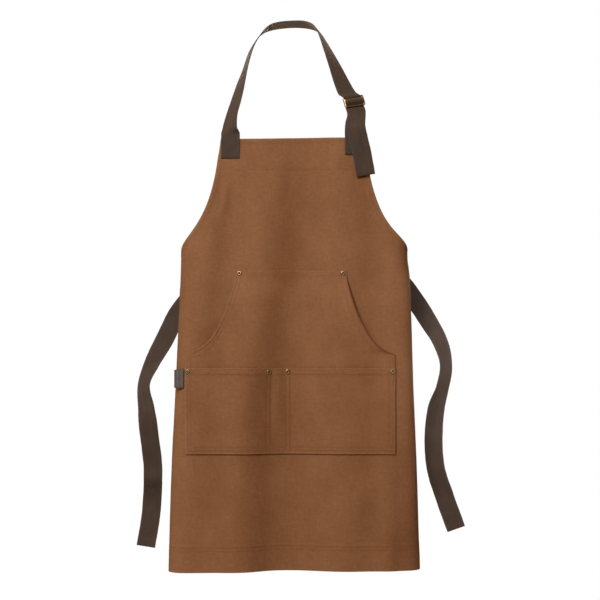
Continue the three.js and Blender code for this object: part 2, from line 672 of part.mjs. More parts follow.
function clothPieces() {
  const pocketColumns = within(COLUMNS, -POCKET_HALF, POCKET_HALF);
  const face = () => 0;
  let panel = clothLayer(COLUMNS, ROWS, face, panelBack);
  for (const side of [-1, 1]) panel = panel.subtract(armholeBlock(side));
  let hand = clothLayer(pocketColumns, within(ROWS, HAND_TOP, POCKET_BOTTOM), handFront, handBack);
  let tool = clothLayer(pocketColumns, within(ROWS, TOOL_TOP, POCKET_BOTTOM), toolFront, toolBack);
  hand = hand.intersect(handOutlinePrism());
  for (const rivet of RIVETS) {
    const hole = rivetHole(rivetFrame(rivet));
    if (rivet.from === panelBack) panel = panel.subtract(hole);
    hand = hand.subtract(hole);
    if (rivet.to === toolFront) tool = tool.subtract(hole);
  }
  return [
    meshFrom('panel', panel, CANVAS),
    meshFrom('hand_pocket', hand, CANVAS),
    meshFrom('tool_pocket', tool, CANVAS),
    meshFrom('side_tab', sideTab(), TAPE),
  ];
}

function strapPieces() {
  const slider = new THREE.Mesh(strapSlider(), new THREE.MeshStandardMaterial(BRASS));
  slider.name = 'strap_slider';
  slider.applyMatrix4(sliderFrame);
  return [
    meshFrom('neck_strap', neckStrap(), WEBBING),
    meshFrom('anchor_strap', anchorStrap(), WEBBING),
    slider,
    meshFrom('left_tie', waistTie(-1, 'leftDrop', LEFT_TIE_ROUTE), WEBBING),
    meshFrom('right_tie', waistTie(1, 'rightDrop', RIGHT_TIE_ROUTE), WEBBING),
  ];
}

function rivetPieces() {
  return RIVETS.map((rivet) => {
    const stack = rivet.to(rivet.u, rivet.v) - rivet.from(rivet.u, rivet.v);
    const mesh = meshFrom(rivet.name, rivetSolid(stack), BRASS);
    mesh.applyMatrix4(rivetFrame(rivet));
    return mesh;
  });
}

const worn = new THREE.Group();
worn.position.set(-NAPE.x, -NAPE.y, -NAPE.z);
worn.add(...clothPieces(), ...strapPieces(), ...rivetPieces());

const apron = new THREE.Group();
apron.name = 'work_apron';
apron.add(worn);

export default apron;
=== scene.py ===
"""Canvas work apron in its worn form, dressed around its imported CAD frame.

The cloth, the webbing and the thread are made in mesh code. The slider, the rivets and the floor
are modelled with operators. Sizes are millimetres until a mesh is made, and places are those of the
part's own tables: u runs across the cut cloth from its centre line, v runs down from the bib's top,
and x, y and z count from a point level with the nape.
"""
import logging
import math
from dataclasses import dataclass, field
from enum import Enum
from typing import Any, Callable, Sequence

import bpy
import numpy as np
from mathutils import Matrix, Vector


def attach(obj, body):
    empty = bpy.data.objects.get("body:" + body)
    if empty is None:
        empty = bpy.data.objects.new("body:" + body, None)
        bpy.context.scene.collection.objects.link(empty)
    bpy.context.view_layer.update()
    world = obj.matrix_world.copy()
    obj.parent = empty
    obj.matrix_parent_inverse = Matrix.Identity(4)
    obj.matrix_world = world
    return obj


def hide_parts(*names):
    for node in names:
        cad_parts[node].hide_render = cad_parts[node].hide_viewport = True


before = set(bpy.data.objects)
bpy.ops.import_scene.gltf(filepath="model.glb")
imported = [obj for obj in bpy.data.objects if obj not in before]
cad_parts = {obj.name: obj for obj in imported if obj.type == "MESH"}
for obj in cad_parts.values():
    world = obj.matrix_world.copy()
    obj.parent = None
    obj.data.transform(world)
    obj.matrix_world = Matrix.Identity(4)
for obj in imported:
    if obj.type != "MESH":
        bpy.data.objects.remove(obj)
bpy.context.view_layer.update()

Array = np.ndarray
Pair = tuple[float, float]
Row = tuple[float, ...]
Point = tuple[float, float, float]
Colour = tuple[float, float, float]
Piece = bpy.types.Object
Surface = Callable[[Array, Array], tuple[Array, Array]]

MM = 0.001
TINY = 1e-9
BODY = "root"
NAPE = np.array([-6.0, 150.0, 0.0])
log = logging.getLogger("apron")


class Side(Enum):
    """The two sides of the apron as the photograph shows them."""

    LEFT = -1
    RIGHT = 1


class Face(Enum):
    """The two faces of a cloth layer."""

    FRONT = 1
    BACK = -1


class Slot(Enum):
    """The record's material slots."""

    CANVAS = "canvas"
    WEBBING = "webbing"
    TAPE = "tape"
    BRASS = "brass"


class Held(Enum):
    """How a sheet is held."""

    HUNG = "hung"
    FOLDED = "folded"


def smoothstep(x: Array | float, low: float, high: float) -> Array:
    """Eases from 0 at low to 1 at high.

    Args:
        x: Values to ease.
        low: Where the result leaves 0.
        high: Where the result reaches 1.

    Returns:
        The eased values.
    """
    t = np.clip((np.asarray(x, float) - low) / (high - low), 0.0, 1.0)
    return t * t * (3 - 2 * t)


def bell(x: Array, width: float) -> Array:
    """A smooth bump of height 1 and the given half width."""
    return np.exp(-((np.asarray(x, float) / width) ** 2))


def through(heights: Sequence[float], values: Sequence[float], at: Array) -> Array:
    """Reads a smooth curve through a short table.

    Args:
        heights: The table's places, in order.
        values: The table's values.
        at: The places to read.

    Returns:
        The curve's values at those places.
    """
    h = np.asarray(heights, float)
    y = np.asarray(values, float)
    last = len(h) - 1
    before = np.maximum(np.arange(last + 1) - 1, 0)
    after = np.minimum(np.arange(last + 1) + 1, last)
    slope = (y[after] - y[before]) / (h[after] - h[before])
    i = np.clip(np.searchsorted(h, at, side="left") - 1, 0, last - 1)
    span = h[i + 1] - h[i]
    t = np.clip((at - h[i]) / span, 0, 1)
    rise = (y[i + 1] - y[i]) * t * t * (3 - 2 * t)
    return y[i] + rise + span * (t * (1 - t) ** 2 * slope[i] + t * t * (t - 1) * slope[i + 1])


def unit(vectors: Array) -> Array:
    """The vectors at length 1."""
    return vectors / np.maximum(np.linalg.norm(vectors, axis=-1, keepdims=True), TINY)


def lengths(path: Array) -> Array:
    """Distance along a path at each of its points."""
    return np.concatenate([[0], np.cumsum(np.linalg.norm(np.diff(path, axis=0), axis=1))])


def to_segment(u: Array, v: Array, a: Array, b: Array) -> tuple[Array, Array]:
    """Where places lie beside a straight segment.

    Args:
        u: Places across.
        v: Places down.
        a: The segment's start.
        b: The segment's end.

    Returns:
        How far along they lie, from 0 to 1 on the segment, and their distance from it.
    """
    way = b - a
    along = ((u - a[0]) * way[0] + (v - a[1]) * way[1]) / max(float(way @ way), TINY)
    near = np.clip(along, 0, 1)
    return along, np.hypot(u - a[0] - near * way[0], v - a[1] - near * way[1])


def round_end(gap: Array, radius: Array | float, least: float) -> Array:
    """How thick a rounded edge is at a distance from it, as a share of the whole.

    Args:
        gap: Distance from the edge.
        radius: How far the rounding reaches.
        least: The share that is left at the very edge, squared.

    Returns:
        Shares of the full thickness.
    """
    return np.sqrt(np.clip(1 - np.clip(1 - gap / radius, 0, 1) ** 2, least, 1))


class Ripple:
    """Smooth seeded noise, from -1 to 1, over two directions."""

    COUNT = 97

    def __init__(self, seed: int, cell_a: float, cell_b: float) -> None:
        """Draws the noise.

        Args:
            seed: Seed of the draw.
            cell_a: Size of a cell along the first direction.
            cell_b: Size of a cell along the second direction.
        """
        self.cells = np.random.default_rng(seed).uniform(-1, 1, (self.COUNT, self.COUNT))
        self.sizes = (cell_a, cell_b)

    def __call__(self, a: Array, b: Array) -> Array:
        """Reads the noise.

        Args:
            a: Places along the first direction.
            b: Places along the second direction.

        Returns:
            The noise at those places.
        """
        p = np.asarray(a, float) / self.sizes[0]
        q = np.asarray(b, float) / self.sizes[1]
        i, j = np.floor(p).astype(int), np.floor(q).astype(int)
        s, t = smoothstep(p - i, 0, 1), smoothstep(q - j, 0, 1)
        i0, i1, j0, j1 = (k % self.COUNT for k in (i, i + 1, j, j + 1))
        top = self.cells[i0, j0] * (1 - s) + self.cells[i1, j0] * s
        low = self.cells[i0, j1] * (1 - s) + self.cells[i1, j1] * s
        return top * (1 - t) + low * t


@dataclass(frozen=True)
class Section:
    """How the panel hangs at one height: half its seen width, its sideways sway and its depth."""

    down: float
    half_span: float
    sway: float
    depth: float


@dataclass(frozen=True)
class Fold:
    """A soft fold: its place across, its lean in degrees and its width at four heights."""

    place: Row
    lean: Row
    width: Row


@dataclass(frozen=True)
class Crease:
    """A short local crease of the cloth, from one place to another."""

    start: Pair
    end: Pair
    height: float
    width: float


@dataclass(frozen=True)
class Nudge:
    """A small local correction of the hang that grows across the cloth and fades up and down."""

    amount: float
    grows: Pair
    middle: float
    width: float

    def at(self, u: Array, v: Array) -> Array:
        """How far the cloth is moved at places u, v."""
        return self.amount * smoothstep(u, *self.grows) * bell(v - self.middle, self.width)


@dataclass
class Drape:
    """The hanging shape that every layer of cloth follows; roundness is degrees in 100 mm."""

    bib_top: float = -248.0
    length: float = 866.0
    side_turn: float = 125.0
    turn_length: float = 100.0
    turn_reach: float = 46.6
    take_up: float = 0.98
    roundness: float = 1.7
    vigour: float = 1.4
    fold_levels: Row = (30, 210, 545, 866)
    sections: tuple[Section, ...] = (
        Section(0, 228, -2, 14.6),
        Section(230, 233.0, -4.7, 4.2),
        Section(520, 242.9, -7.6, -1.0),
        Section(866, 259.6, -3.8, 17),
    )
    folds: tuple[Fold, ...] = (
        Fold((5, -8, -60, -73), (8, 15, 19.5, 28), (25, 25, 28, 36)),
        Fold((54, 49, 52, 53), (-5, -7, -10.5, -16), (40, 42, 42, 44)),
        Fold((118, 151, 147, 144), (3, 8, 4.5, 6.5), (20, 19, 24, 24)),
        Fold((175, 185, 188, 190), (0, -4, -6.5, -8.5), (18, 18, 18, 18)),
        Fold((-95, -98, -116, -144), (-4, -8, -8, -7), (30, 30, 30, 32)),
        Fold((-140, -150, -176, -186), (0, 13, 7, 6), (20, 17, 20, 24)),
        Fold((-190, -200, -210, -214), (0, -10, -5, -3), (20, 20, 20, 20)),
        Fold((205, 208, 212, 213), (0, 0, 6, 16), (12, 12, 12, 13)),
    )
    creases: tuple[Crease, ...] = (
        Crease((-196, 408), (-150, 352), 1.0, 9),
        Crease((-205, 330), (-172, 420), -0.8, 12),
        Crease((150, 250), (196, 330), 0.7, 14),
        Crease((-262, 300), (-205, 330), 0.8, 10),
        Crease((262, 300), (214, 322), 0.8, 10),
        Crease((-120, 44), (-92, 118), 0.7, 12),
        Crease((122, 44), (100, 120), 0.7, 12),
        Crease((-60, 640), (-74, 700), 0.8, 9),
        Crease((-130, 76), (-140, 166), 2.6, 9),
        Crease((-2, 58), (-12, 140), -0.8, 8),
        Crease((84, 8), (90, 92), 0.7, 10),
    )
    hem_dip: tuple[Pair, ...] = ((-235, 1.9), (-150, 0.9), (-20, 1.0), (90, 0.4), (235, 0.2))
    dip_from: float = 560.0
    gather: Row = (0, 0, 0, 0.5)
    bib_rise: float = 2.4
    bib_rise_across: Pair = (-70.0, 90.0)
    bib_rise_down: float = 110.0
    arm_rise: Nudge = Nudge(7.0, (120, 260), 205, 60)
    arm_out: Nudge = Nudge(3.4, (40, 130), 140, 75)
    corner_in: Nudge = Nudge(4.4, (180, 250), 238, 28)
    soft_amount: float = 0.8
    soft_cell: Pair = (92, 150)
    fine_amount: float = 0.22
    fine_cell: Pair = (31, 58)
    seeds: tuple[int, int] = (11, 12)
    noise_shift: Pair = (400, 90)
    crease_end: float = 0.04
    flat_top: Pair = (-4, 40)
    low: float = -60.0
    spare: float = 40.0
    reach: float = 352.0
    v_step: float = 2.0
    probe: float = 3.0

    def __post_init__(self) -> None:
        """Works out the cloth's lines at every height once."""
        downs = [s.down for s in self.sections]
        v = np.arange(self.low, self.length + self.spare, self.v_step)
        half, sway, depth = (
            through(downs, [getattr(s, key) for s in self.sections], v)[:, None]
            for key in ("half_span", "sway", "depth")
        )
        u = np.arange(-self.reach, self.reach) + 0.5
        sign = np.sign(u)
        start = (half - sign * sway - self.turn_reach) / self.take_up
        start = start + (u < 0) * through(self.fold_levels, self.gather, v)[:, None]
        turned = np.clip((np.abs(u) - start) / self.turn_length, 0, 1)
        lean = self.roundness * u / 100 + sign * self.side_turn * turned * turned * (3 - 2 * turned)
        for fold in self.folds:
            place = through(self.fold_levels, fold.place, v)[:, None]
            most = self.vigour * through(self.fold_levels, fold.lean, v)[:, None]
            width = through(self.fold_levels, fold.width, v)[:, None]
            lean = lean + most * np.exp(-(((u - place) / width) ** 2) / 2)
        angle = np.radians(lean)
        middle = int(self.reach)
        zero = np.zeros((len(v), 1))
        x = np.hstack([zero, np.cumsum(np.cos(angle), axis=1)])
        y = np.hstack([zero, np.cumsum(np.sin(angle), axis=1)])
        self.x = x - x[:, middle : middle + 1] + sway
        self.y = y - y[:, middle : middle + 1] + depth
        self.soft = Ripple(self.seeds[0], *self.soft_cell)
        self.fine = Ripple(self.seeds[1], *self.fine_cell)

    def place(self, u: Array, v: Array) -> Array:
        """Places of the smooth hanging cloth.

        Args:
            u: Places across.
            v: Places down.

        Returns:
            Points in the tables' frame.
        """
        a = np.clip(np.asarray(u, float) + self.reach, 0, self.x.shape[1] - 1.001)
        b = np.clip((np.asarray(v, float) - self.low) / self.v_step, 0, self.x.shape[0] - 1.001)
        i, j = a.astype(int), b.astype(int)
        s, t = a - i, b - j

        def read(table: Array) -> Array:
            """Reads a table between its entries."""
            upper = table[j, i] * (1 - s) + table[j, i + 1] * s
            lower = table[j + 1, i] * (1 - s) + table[j + 1, i + 1] * s
            return upper * (1 - t) + lower * t

        across, drops = zip(*self.hem_dip)
        dip = through(across, drops, np.clip(u, across[0], across[-1]))
        dip = dip * smoothstep(v, self.dip_from, self.length)
        rise = self.bib_rise * smoothstep(u, *self.bib_rise_across)
        rise = rise * (1 - smoothstep(v, 0, self.bib_rise_down)) + self.arm_rise.at(u, v)
        shift = self.arm_out.at(u, v) - self.corner_in.at(u, v)
        height = self.bib_top - v - dip + rise
        return np.stack([read(self.x) + shift, read(self.y), height], axis=-1)

    def relief(self, u: Array, v: Array) -> Array:
        """Small soft unevenness of the cloth, in the way of its face.

        Args:
            u: Places across.
            v: Places down.

        Returns:
            How far the cloth stands out at those places.
        """
        a, b = u + self.noise_shift[0], v + self.noise_shift[1]
        total = self.soft_amount * self.soft(a, b) + self.fine_amount * self.fine(a, b)
        for crease in self.creases:
            along, gap = to_segment(u, v, *np.array([crease.start, crease.end], float))
            fade = np.sin(np.pi * np.clip(along, self.crease_end, 1 - self.crease_end))
            total = total + crease.height * bell(gap, crease.width) * fade
        return total * smoothstep(v, *self.flat_top)

    def face(self, u: Array, v: Array) -> tuple[Array, Array]:
        """Which ways the cloth lies.

        Args:
            u: Places across.
            v: Places down.

        Returns:
            The outward face and the way across the cloth at those places.
        """
        p = self.probe
        across = unit(self.place(u + p, v) - self.place(u - p, v))
        down = self.place(u, v + p) - self.place(u, v - p)
        return unit(np.cross(down, across)), across

    def off(self, u: Array, v: Array, off: Array) -> Array:
        """Points that stand off the panel's face by the given distance."""
        face, _ = self.face(u, v)
        return self.place(u, v) + face * (np.asarray(off) + self.relief(u, v))[..., None]


def to_row(points: Array) -> Array:
    """Moves points of the tables, in millimetres, to the row's frame in metres."""
    return (points - NAPE) * MM


def new_mesh(
    name: str, points: Array, faces: Sequence[Sequence[int]] | Array
) -> Piece:
    """Makes a smooth mesh object at the origin.

    Args:
        name: The piece's name.
        points: Places in the row's frame.
        faces: Corners of each face.

    Returns:
        The new object.
    """
    mesh = bpy.data.meshes.new(name)
    corners = faces.tolist() if isinstance(faces, np.ndarray) else faces
    mesh.from_pydata(points.tolist(), [], corners)
    mesh.polygons.foreach_set("use_smooth", np.ones(len(mesh.polygons), bool))
    mesh.update()
    piece = bpy.data.objects.new(name, mesh)
    bpy.context.scene.collection.objects.link(piece)
    return piece


def mark_points(piece: Piece, name: str, values: Array | Sequence[float]) -> None:
    """Gives a mesh a named value at each point."""
    attribute = piece.data.attributes.new(name, "FLOAT", "POINT")
    attribute.data.foreach_set("value", np.asarray(values, np.float32).ravel())


def set_layer(piece: Piece, uv: Array, **marks: Array) -> None:
    """Gives a mesh its cloth coordinates and its point marks.

    Args:
        piece: The mesh object.
        uv: One pair of coordinates for each point, in metres.
        marks: Named values, one for each point.
    """
    mesh = piece.data
    corners = np.empty(len(mesh.loops), np.int32)
    mesh.loops.foreach_get("vertex_index", corners)
    layer = mesh.uv_layers.new(name="cloth")
    layer.data.foreach_set("uv", uv[corners].astype(np.float32).ravel())
    for name, values in marks.items():
        mark_points(piece, name, values)


def shell(name: str, front: Array, back: Array, uv: Array, **marks: Array) -> Piece:
    """A closed wall between two faces of points laid out in rows.

    Args:
        name: The piece's name.
        front: Points of the front face, rows by columns, in the tables' frame.
        back: Points of the back face.
        uv: Cloth coordinates of the columns and rows, in millimetres.
        marks: Named values, rows by columns, the same on both faces.

    Returns:
        The wall's object.
    """
    rows, columns = front.shape[:2]
    at = np.arange(rows * columns).reshape(rows, columns)
    count = rows * columns
    a, below, corner, right = at[:-1, :-1], at[1:, :-1], at[1:, 1:], at[:-1, 1:]
    quads = [
        np.stack([a, below, corner, right], -1).reshape(-1, 4),
        np.stack([a, right, corner, below], -1).reshape(-1, 4) + count,
    ]
    rim = np.concatenate([at[0, ::-1], at[1:, 0], at[-1, 1:], at[-2:0:-1, -1]])
    after = np.roll(rim, -1)
    quads.append(np.stack([rim, rim + count, after + count, after], -1))
    points = to_row(np.concatenate([front.reshape(-1, 3), back.reshape(-1, 3)]))
    piece = new_mesh(name, points, np.concatenate(quads))
    both = {key: np.concatenate([mark.ravel()] * 2) for key, mark in marks.items()}
    set_layer(piece, np.concatenate([uv.reshape(-1, 2)] * 2) * MM, **both)
    return piece


@dataclass(frozen=True)
class Seam:
    """A sewn line on the cloth, as a path of places u, v."""

    path: Array
    groove: float = 0.36
    # How dark the seam's line is: partly dirt, partly painted shade in its groove.
    tone: float = 0.7

    def near(self, u: Array, v: Array) -> tuple[Array, Array]:
        """How far places lie from the seam, and how far along it.

        Args:
            u: Places across.
            v: Places down.

        Returns:
            Distances from the seam, and distances along it.
        """
        best = np.full(np.shape(u), np.inf)
        along = np.zeros(np.shape(u))
        marks = lengths(self.path)
        for k, (a, b) in enumerate(zip(self.path, self.path[1:])):
            share, gap = to_segment(u, v, a, b)
            closer = gap < best
            best = np.where(closer, gap, best)
            along = np.where(closer, marks[k] + np.clip(share, 0, 1) * math.dist(a, b), along)
        return best, along


def line(*places: Pair) -> Array:
    """A straight or cornered path through places u, v."""
    return np.array(places, float)


def level(reach: float, row: float) -> Array:
    """A level path at a height, that reaches as far to both sides."""
    return line((-reach, row), (reach, row))


def beside(path: Array, distance: float) -> Array:
    """A path at one side of another: to the right of its way for a positive distance."""
    way = unit(np.gradient(path, axis=0))
    return path + np.stack([-way[:, 1], way[:, 0]], axis=-1) * distance


@dataclass(frozen=True)
class Pull:
    """How sewing draws the cloth in along its rows: a groove, a darker line that is partly dirt and
    partly painted shade, and puckers.
    """

    groove_width: float = 1.5
    tone_width: float = 2.0
    pucker: float = 0.16
    pucker_width: float = 6.5
    pucker_cell: float = 7.5
    row_shift: float = 31.0
    seed: int = 21

    def on(self, seams: Sequence[Seam], u: Array, v: Array) -> tuple[Array, Array]:
        """How seams draw one face in.

        Args:
            seams: The seams on this face.
            u: Places across.
            v: Places down.

        Returns:
            How far the face lies lower, and a mark for the seams' darker lines, partly dirt and
            partly painted shade.
        """
        depth, mark, still = (np.zeros(np.shape(u)) for _ in range(3))
        uneven = Ripple(self.seed, self.pucker_cell, 1.0)
        for k, seam in enumerate(seams):
            gap, along = seam.near(u, v)
            depth = np.maximum(depth, seam.groove * bell(gap, self.groove_width))
            pucker = self.pucker * uneven(along + self.row_shift * k, still)
            depth = depth + pucker * bell(gap, self.pucker_width)
            mark = np.maximum(mark, seam.tone * bell(gap, self.tone_width))
        return depth, mark


def rounded(
    front: Array, back: Array, edge: Array, least_radius: float = 0.2, least: float = 0.04
) -> tuple[Array, Array]:
    """Rounds a layer's edge between its two faces.

    Args:
        front: How far the front face stands off.
        back: How far the back face stands off.
        edge: Distance to the layer's nearest edge.
        least_radius: The smallest rounding.
        least: The share of the thickness that is left at the very edge, squared.

    Returns:
        The two faces, drawn together at the edge.
    """
    middle, half = (front + back) / 2, (front - back) / 2
    half = half * round_end(edge, np.maximum(half, least_radius), least)
    return middle + half, middle - half


def merged(*groups: Sequence[float], least: float = 0.35) -> Array:
    """Puts the grid lines of several groups in order.

    Args:
        groups: The groups of lines.
        least: The least distance between two lines.

    Returns:
        The lines, without those too close to the one before.
    """
    lines = np.unique(np.concatenate([np.asarray(g, float) for g in groups]))
    kept = [lines[0]]
    for value in lines[1:]:
        if value - kept[-1] >= least:
            kept.append(value)
    kept[-1] = lines[-1]
    return np.array(kept)


# Grid lines beside an edge, by their distance from it: all of them, and those of a plain edge.
EDGE_STEPS = np.array([0, 0.35, 0.9, 1.8, 3.4, 5.2, 7.2, 8.4, 9.5, 10.6, 11.6, 12.6, 14.5])
PLAIN_STEPS = EDGE_STEPS[:5]


@dataclass
class Cloth:
    """A layer of canvas that follows the drape."""

    drape: Drape
    cloth: float = 1.2
    ply_gap: float = 0.3
    hem_rise: float = 0.5
    worn_width: float = 2.6
    pull: Pull = Pull()

    def grid(self) -> tuple[Array, Array, Array]:
        """Grid of the layer: places u and v, and the distance to the nearest edge."""
        raise NotImplementedError

    def seams(self) -> list[Seam]:
        """The seams that show on the layer's front."""
        raise NotImplementedError

    def faces(self, u: Array, v: Array) -> tuple[Array, Array]:
        """How far the two faces stand off the panel's face before sewing."""
        raise NotImplementedError

    def handled(self, u: Array, v: Array) -> Array:
        """A mark from 0 to 1 where shade is painted along an edge."""
        return np.zeros(np.shape(u))

    def top(self, u: Array, v: Array) -> Array:
        """How far the sewn front face stands off the panel's face."""
        front, _ = self.faces(u, v)
        return front - self.pull.on(self.seams(), u, v)[0]

    def surface(self, face: Face) -> Surface:
        """One face of the layer, for thread to lie on.

        Args:
            face: Which face.

        Returns:
            A function that gives points and outward directions at places of the cloth.
        """

        def read(u: Array, v: Array) -> tuple[Array, Array]:
            """Reads points and directions at places of the cloth."""
            way, _ = self.drape.face(u, v)
            off = self.top(u, v) if face is Face.FRONT else self.faces(u, v)[1]
            return self.drape.off(u, v, off), way * face.value

        return read

    def mesh(self, name: str, grain: Pair = (0, 0)) -> Piece:
        """Builds the layer.

        Args:
            name: The piece's name.
            grain: Shift of the weave, so that no two layers repeat each other.

        Returns:
            The layer's object.
        """
        u, v, edge = self.grid()
        front, back = self.faces(u, v)
        # The seams' mark is partly dirt and partly painted shade.
        depth, sewn = self.pull.on(self.seams(), u, v)
        front, back = (self.drape.off(u, v, off) for off in rounded(front - depth, back, edge))
        uv = np.stack([u + grain[0], -v + grain[1]], axis=-1)
        wear = bell(edge, self.worn_width)
        # The last mark is painted shade along the pockets' right edges.
        return shell(name, front, back, uv, wear=wear, sewn=sewn, handled=self.handled(u, v))


@dataclass
class Outlined(Cloth):
    """A layer whose two sides follow a curved outline."""

    columns: int = 100
    spread: float = 4.0

    def half(self, v: Array) -> Array:
        """Half width of the layer."""
        raise NotImplementedError

    def slant(self, v: Array) -> Array:
        """How much longer the way to the side edge is across than straight to it."""
        slope = (self.half(v + self.spread) - self.half(v - self.spread)) / (2 * self.spread)
        return np.sqrt(1 + slope**2)

    def inside(self, u: Array, v: Array) -> Array:
        """Distance of places from the side edge."""
        return (self.half(v) - np.abs(u)) / self.slant(v)

    def across(self, rows: Array, top: float, bottom: float) -> tuple[Array, Array, Array]:
        """Grid of rows as wide as the outline, closer beside the edges.

        Args:
            rows: The rows' heights.
            top: Height of the layer's top edge.
            bottom: Height of its bottom edge.

        Returns:
            Places u and v, and the distance to the nearest edge.
        """
        v = rows[:, None]
        band = self.half(v) - EDGE_STEPS * self.slant(v)
        inner = band[:, -1:] * np.linspace(-1, 1, self.columns)[1:-1]
        u = np.hstack([-band, inner, band[:, ::-1]])
        v = np.broadcast_to(v, u.shape)
        ends = np.minimum(v - top, bottom - v)
        return u, v, np.minimum(ends, np.maximum(self.inside(u, v), 0))


@dataclass
class Panel(Outlined):
    """The apron's one large panel: bib, armholes, skirt and hems."""

    length: float = 866.0
    bib_half: float = 149.0
    corner_draw: float = 3.6
    cut_half: float = 310.0
    arm_drop: float = 255.0
    facing: float = 64.0
    side_hem: float = 12.0
    bottom_hem: float = 54.0
    hem_rise: float = 0.3
    columns: int = 128
    row_step: float = 4.8
    top_rows: Pair = (9.0, 62.0)
    hem_rows: Pair = (817.0, 824.0)
    edge_row: float = 9.5
    draw_fade: Pair = (-5, 50)
    facing_lines: Row = (-4.5, -3, -2, -1, 0, 0.8, 1.8)
    corner_lines: Point = (244, 266, 2.0)
    hem_lines: Row = (-2.4, -1, 0, 1, 3, 4.2, 5, 5.8, 7.5, 10, 11, 12, 13, 14.5)
    soft_fades: Pair = (14.0, 1.0)
    path_steps: int = 90
    seam_end: float = 3.0
    side_start: float = 2.0
    top_sewn: Pair = (0.03, 0.0)
    hem_sewn: Pair = (0.26, 0.5)
    side_sewn: Pair = (0.3, 0.5)

    def half(self, v: Array) -> Array:
        """Half width of the cut cloth: the armhole curve, then straight sides.

        Args:
            v: Places down.

        Returns:
            The half widths there.
        """
        t = np.clip(np.asarray(v, float) / self.arm_drop, 0, 1)
        drawn = self.corner_draw * (1 - smoothstep(v, *self.draw_fade))
        return self.bib_half + (self.cut_half - self.bib_half) * (t**2 + t**6) / 2 - drawn

    def grid(self) -> tuple[Array, Array, Array]:
        """Rows of the panel, each as wide as the cut cloth there."""
        rows = merged(
            np.arange(0, self.length, self.row_step),
            EDGE_STEPS,
            self.facing + np.array(self.facing_lines),
            np.arange(*self.corner_lines),
            self.length - self.bottom_hem + np.array(self.hem_lines),
            self.length - PLAIN_STEPS,
            [self.length],
        )
        return self.across(rows, 0, self.length)

    def doubled(self, u: Array, v: Array, facing_fade: float = 0.6, fade: float = 0.6) -> Array:
        """Where the cloth is turned back on itself.

        Args:
            u: Places across.
            v: Places down.
            facing_fade: How softly the facing ends.
            fade: How softly the hems end.

        Returns:
            1 where the cloth is doubled, 0 elsewhere.
        """
        in_facing = 1 - smoothstep(v, self.facing - facing_fade, self.facing + facing_fade)
        hem = self.length - self.bottom_hem
        in_hem = smoothstep(v, hem - fade, hem + fade)
        in_side = 1 - smoothstep(self.inside(u, v), self.side_hem - fade, self.side_hem + fade)
        return np.maximum(np.maximum(in_facing, in_hem), in_side)

    def faces(self, u: Array, v: Array) -> tuple[Array, Array]:
        """The two faces: level in front, and stepped behind where the cloth is doubled."""
        front = self.hem_rise * (self.doubled(u, v, *self.soft_fades) - 1)
        return front, -self.cloth * (1 + self.doubled(u, v)) - self.hem_rise / 2

    def side_path(self, side: Side, distance: float, start: float, end: float) -> Array:
        """A path inside one side edge.

        Args:
            side: Which side.
            distance: How far inside the edge.
            start: The height where it starts.
            end: The height where it ends.

        Returns:
            The path's places.
        """
        v = np.linspace(start, end, self.path_steps)
        return np.stack([side.value * (self.half(v) - distance * self.slant(v)), v], axis=-1)

    def seams(self) -> list[Seam]:
        """Facing, armhole, side and hem seams."""
        seams = []
        for row in self.top_rows:
            reach = float(self.half(np.array(row))) - self.seam_end
            seams.append(Seam(level(reach, row), *self.top_sewn))
        for row in self.hem_rows:
            seams.append(Seam(level(self.cut_half - self.seam_end, row), *self.hem_sewn))
        end = self.length - self.seam_end
        for side in Side:
            path = self.side_path(side, self.edge_row, self.side_start, end)
            seams.append(Seam(path, *self.side_sewn))
        return seams


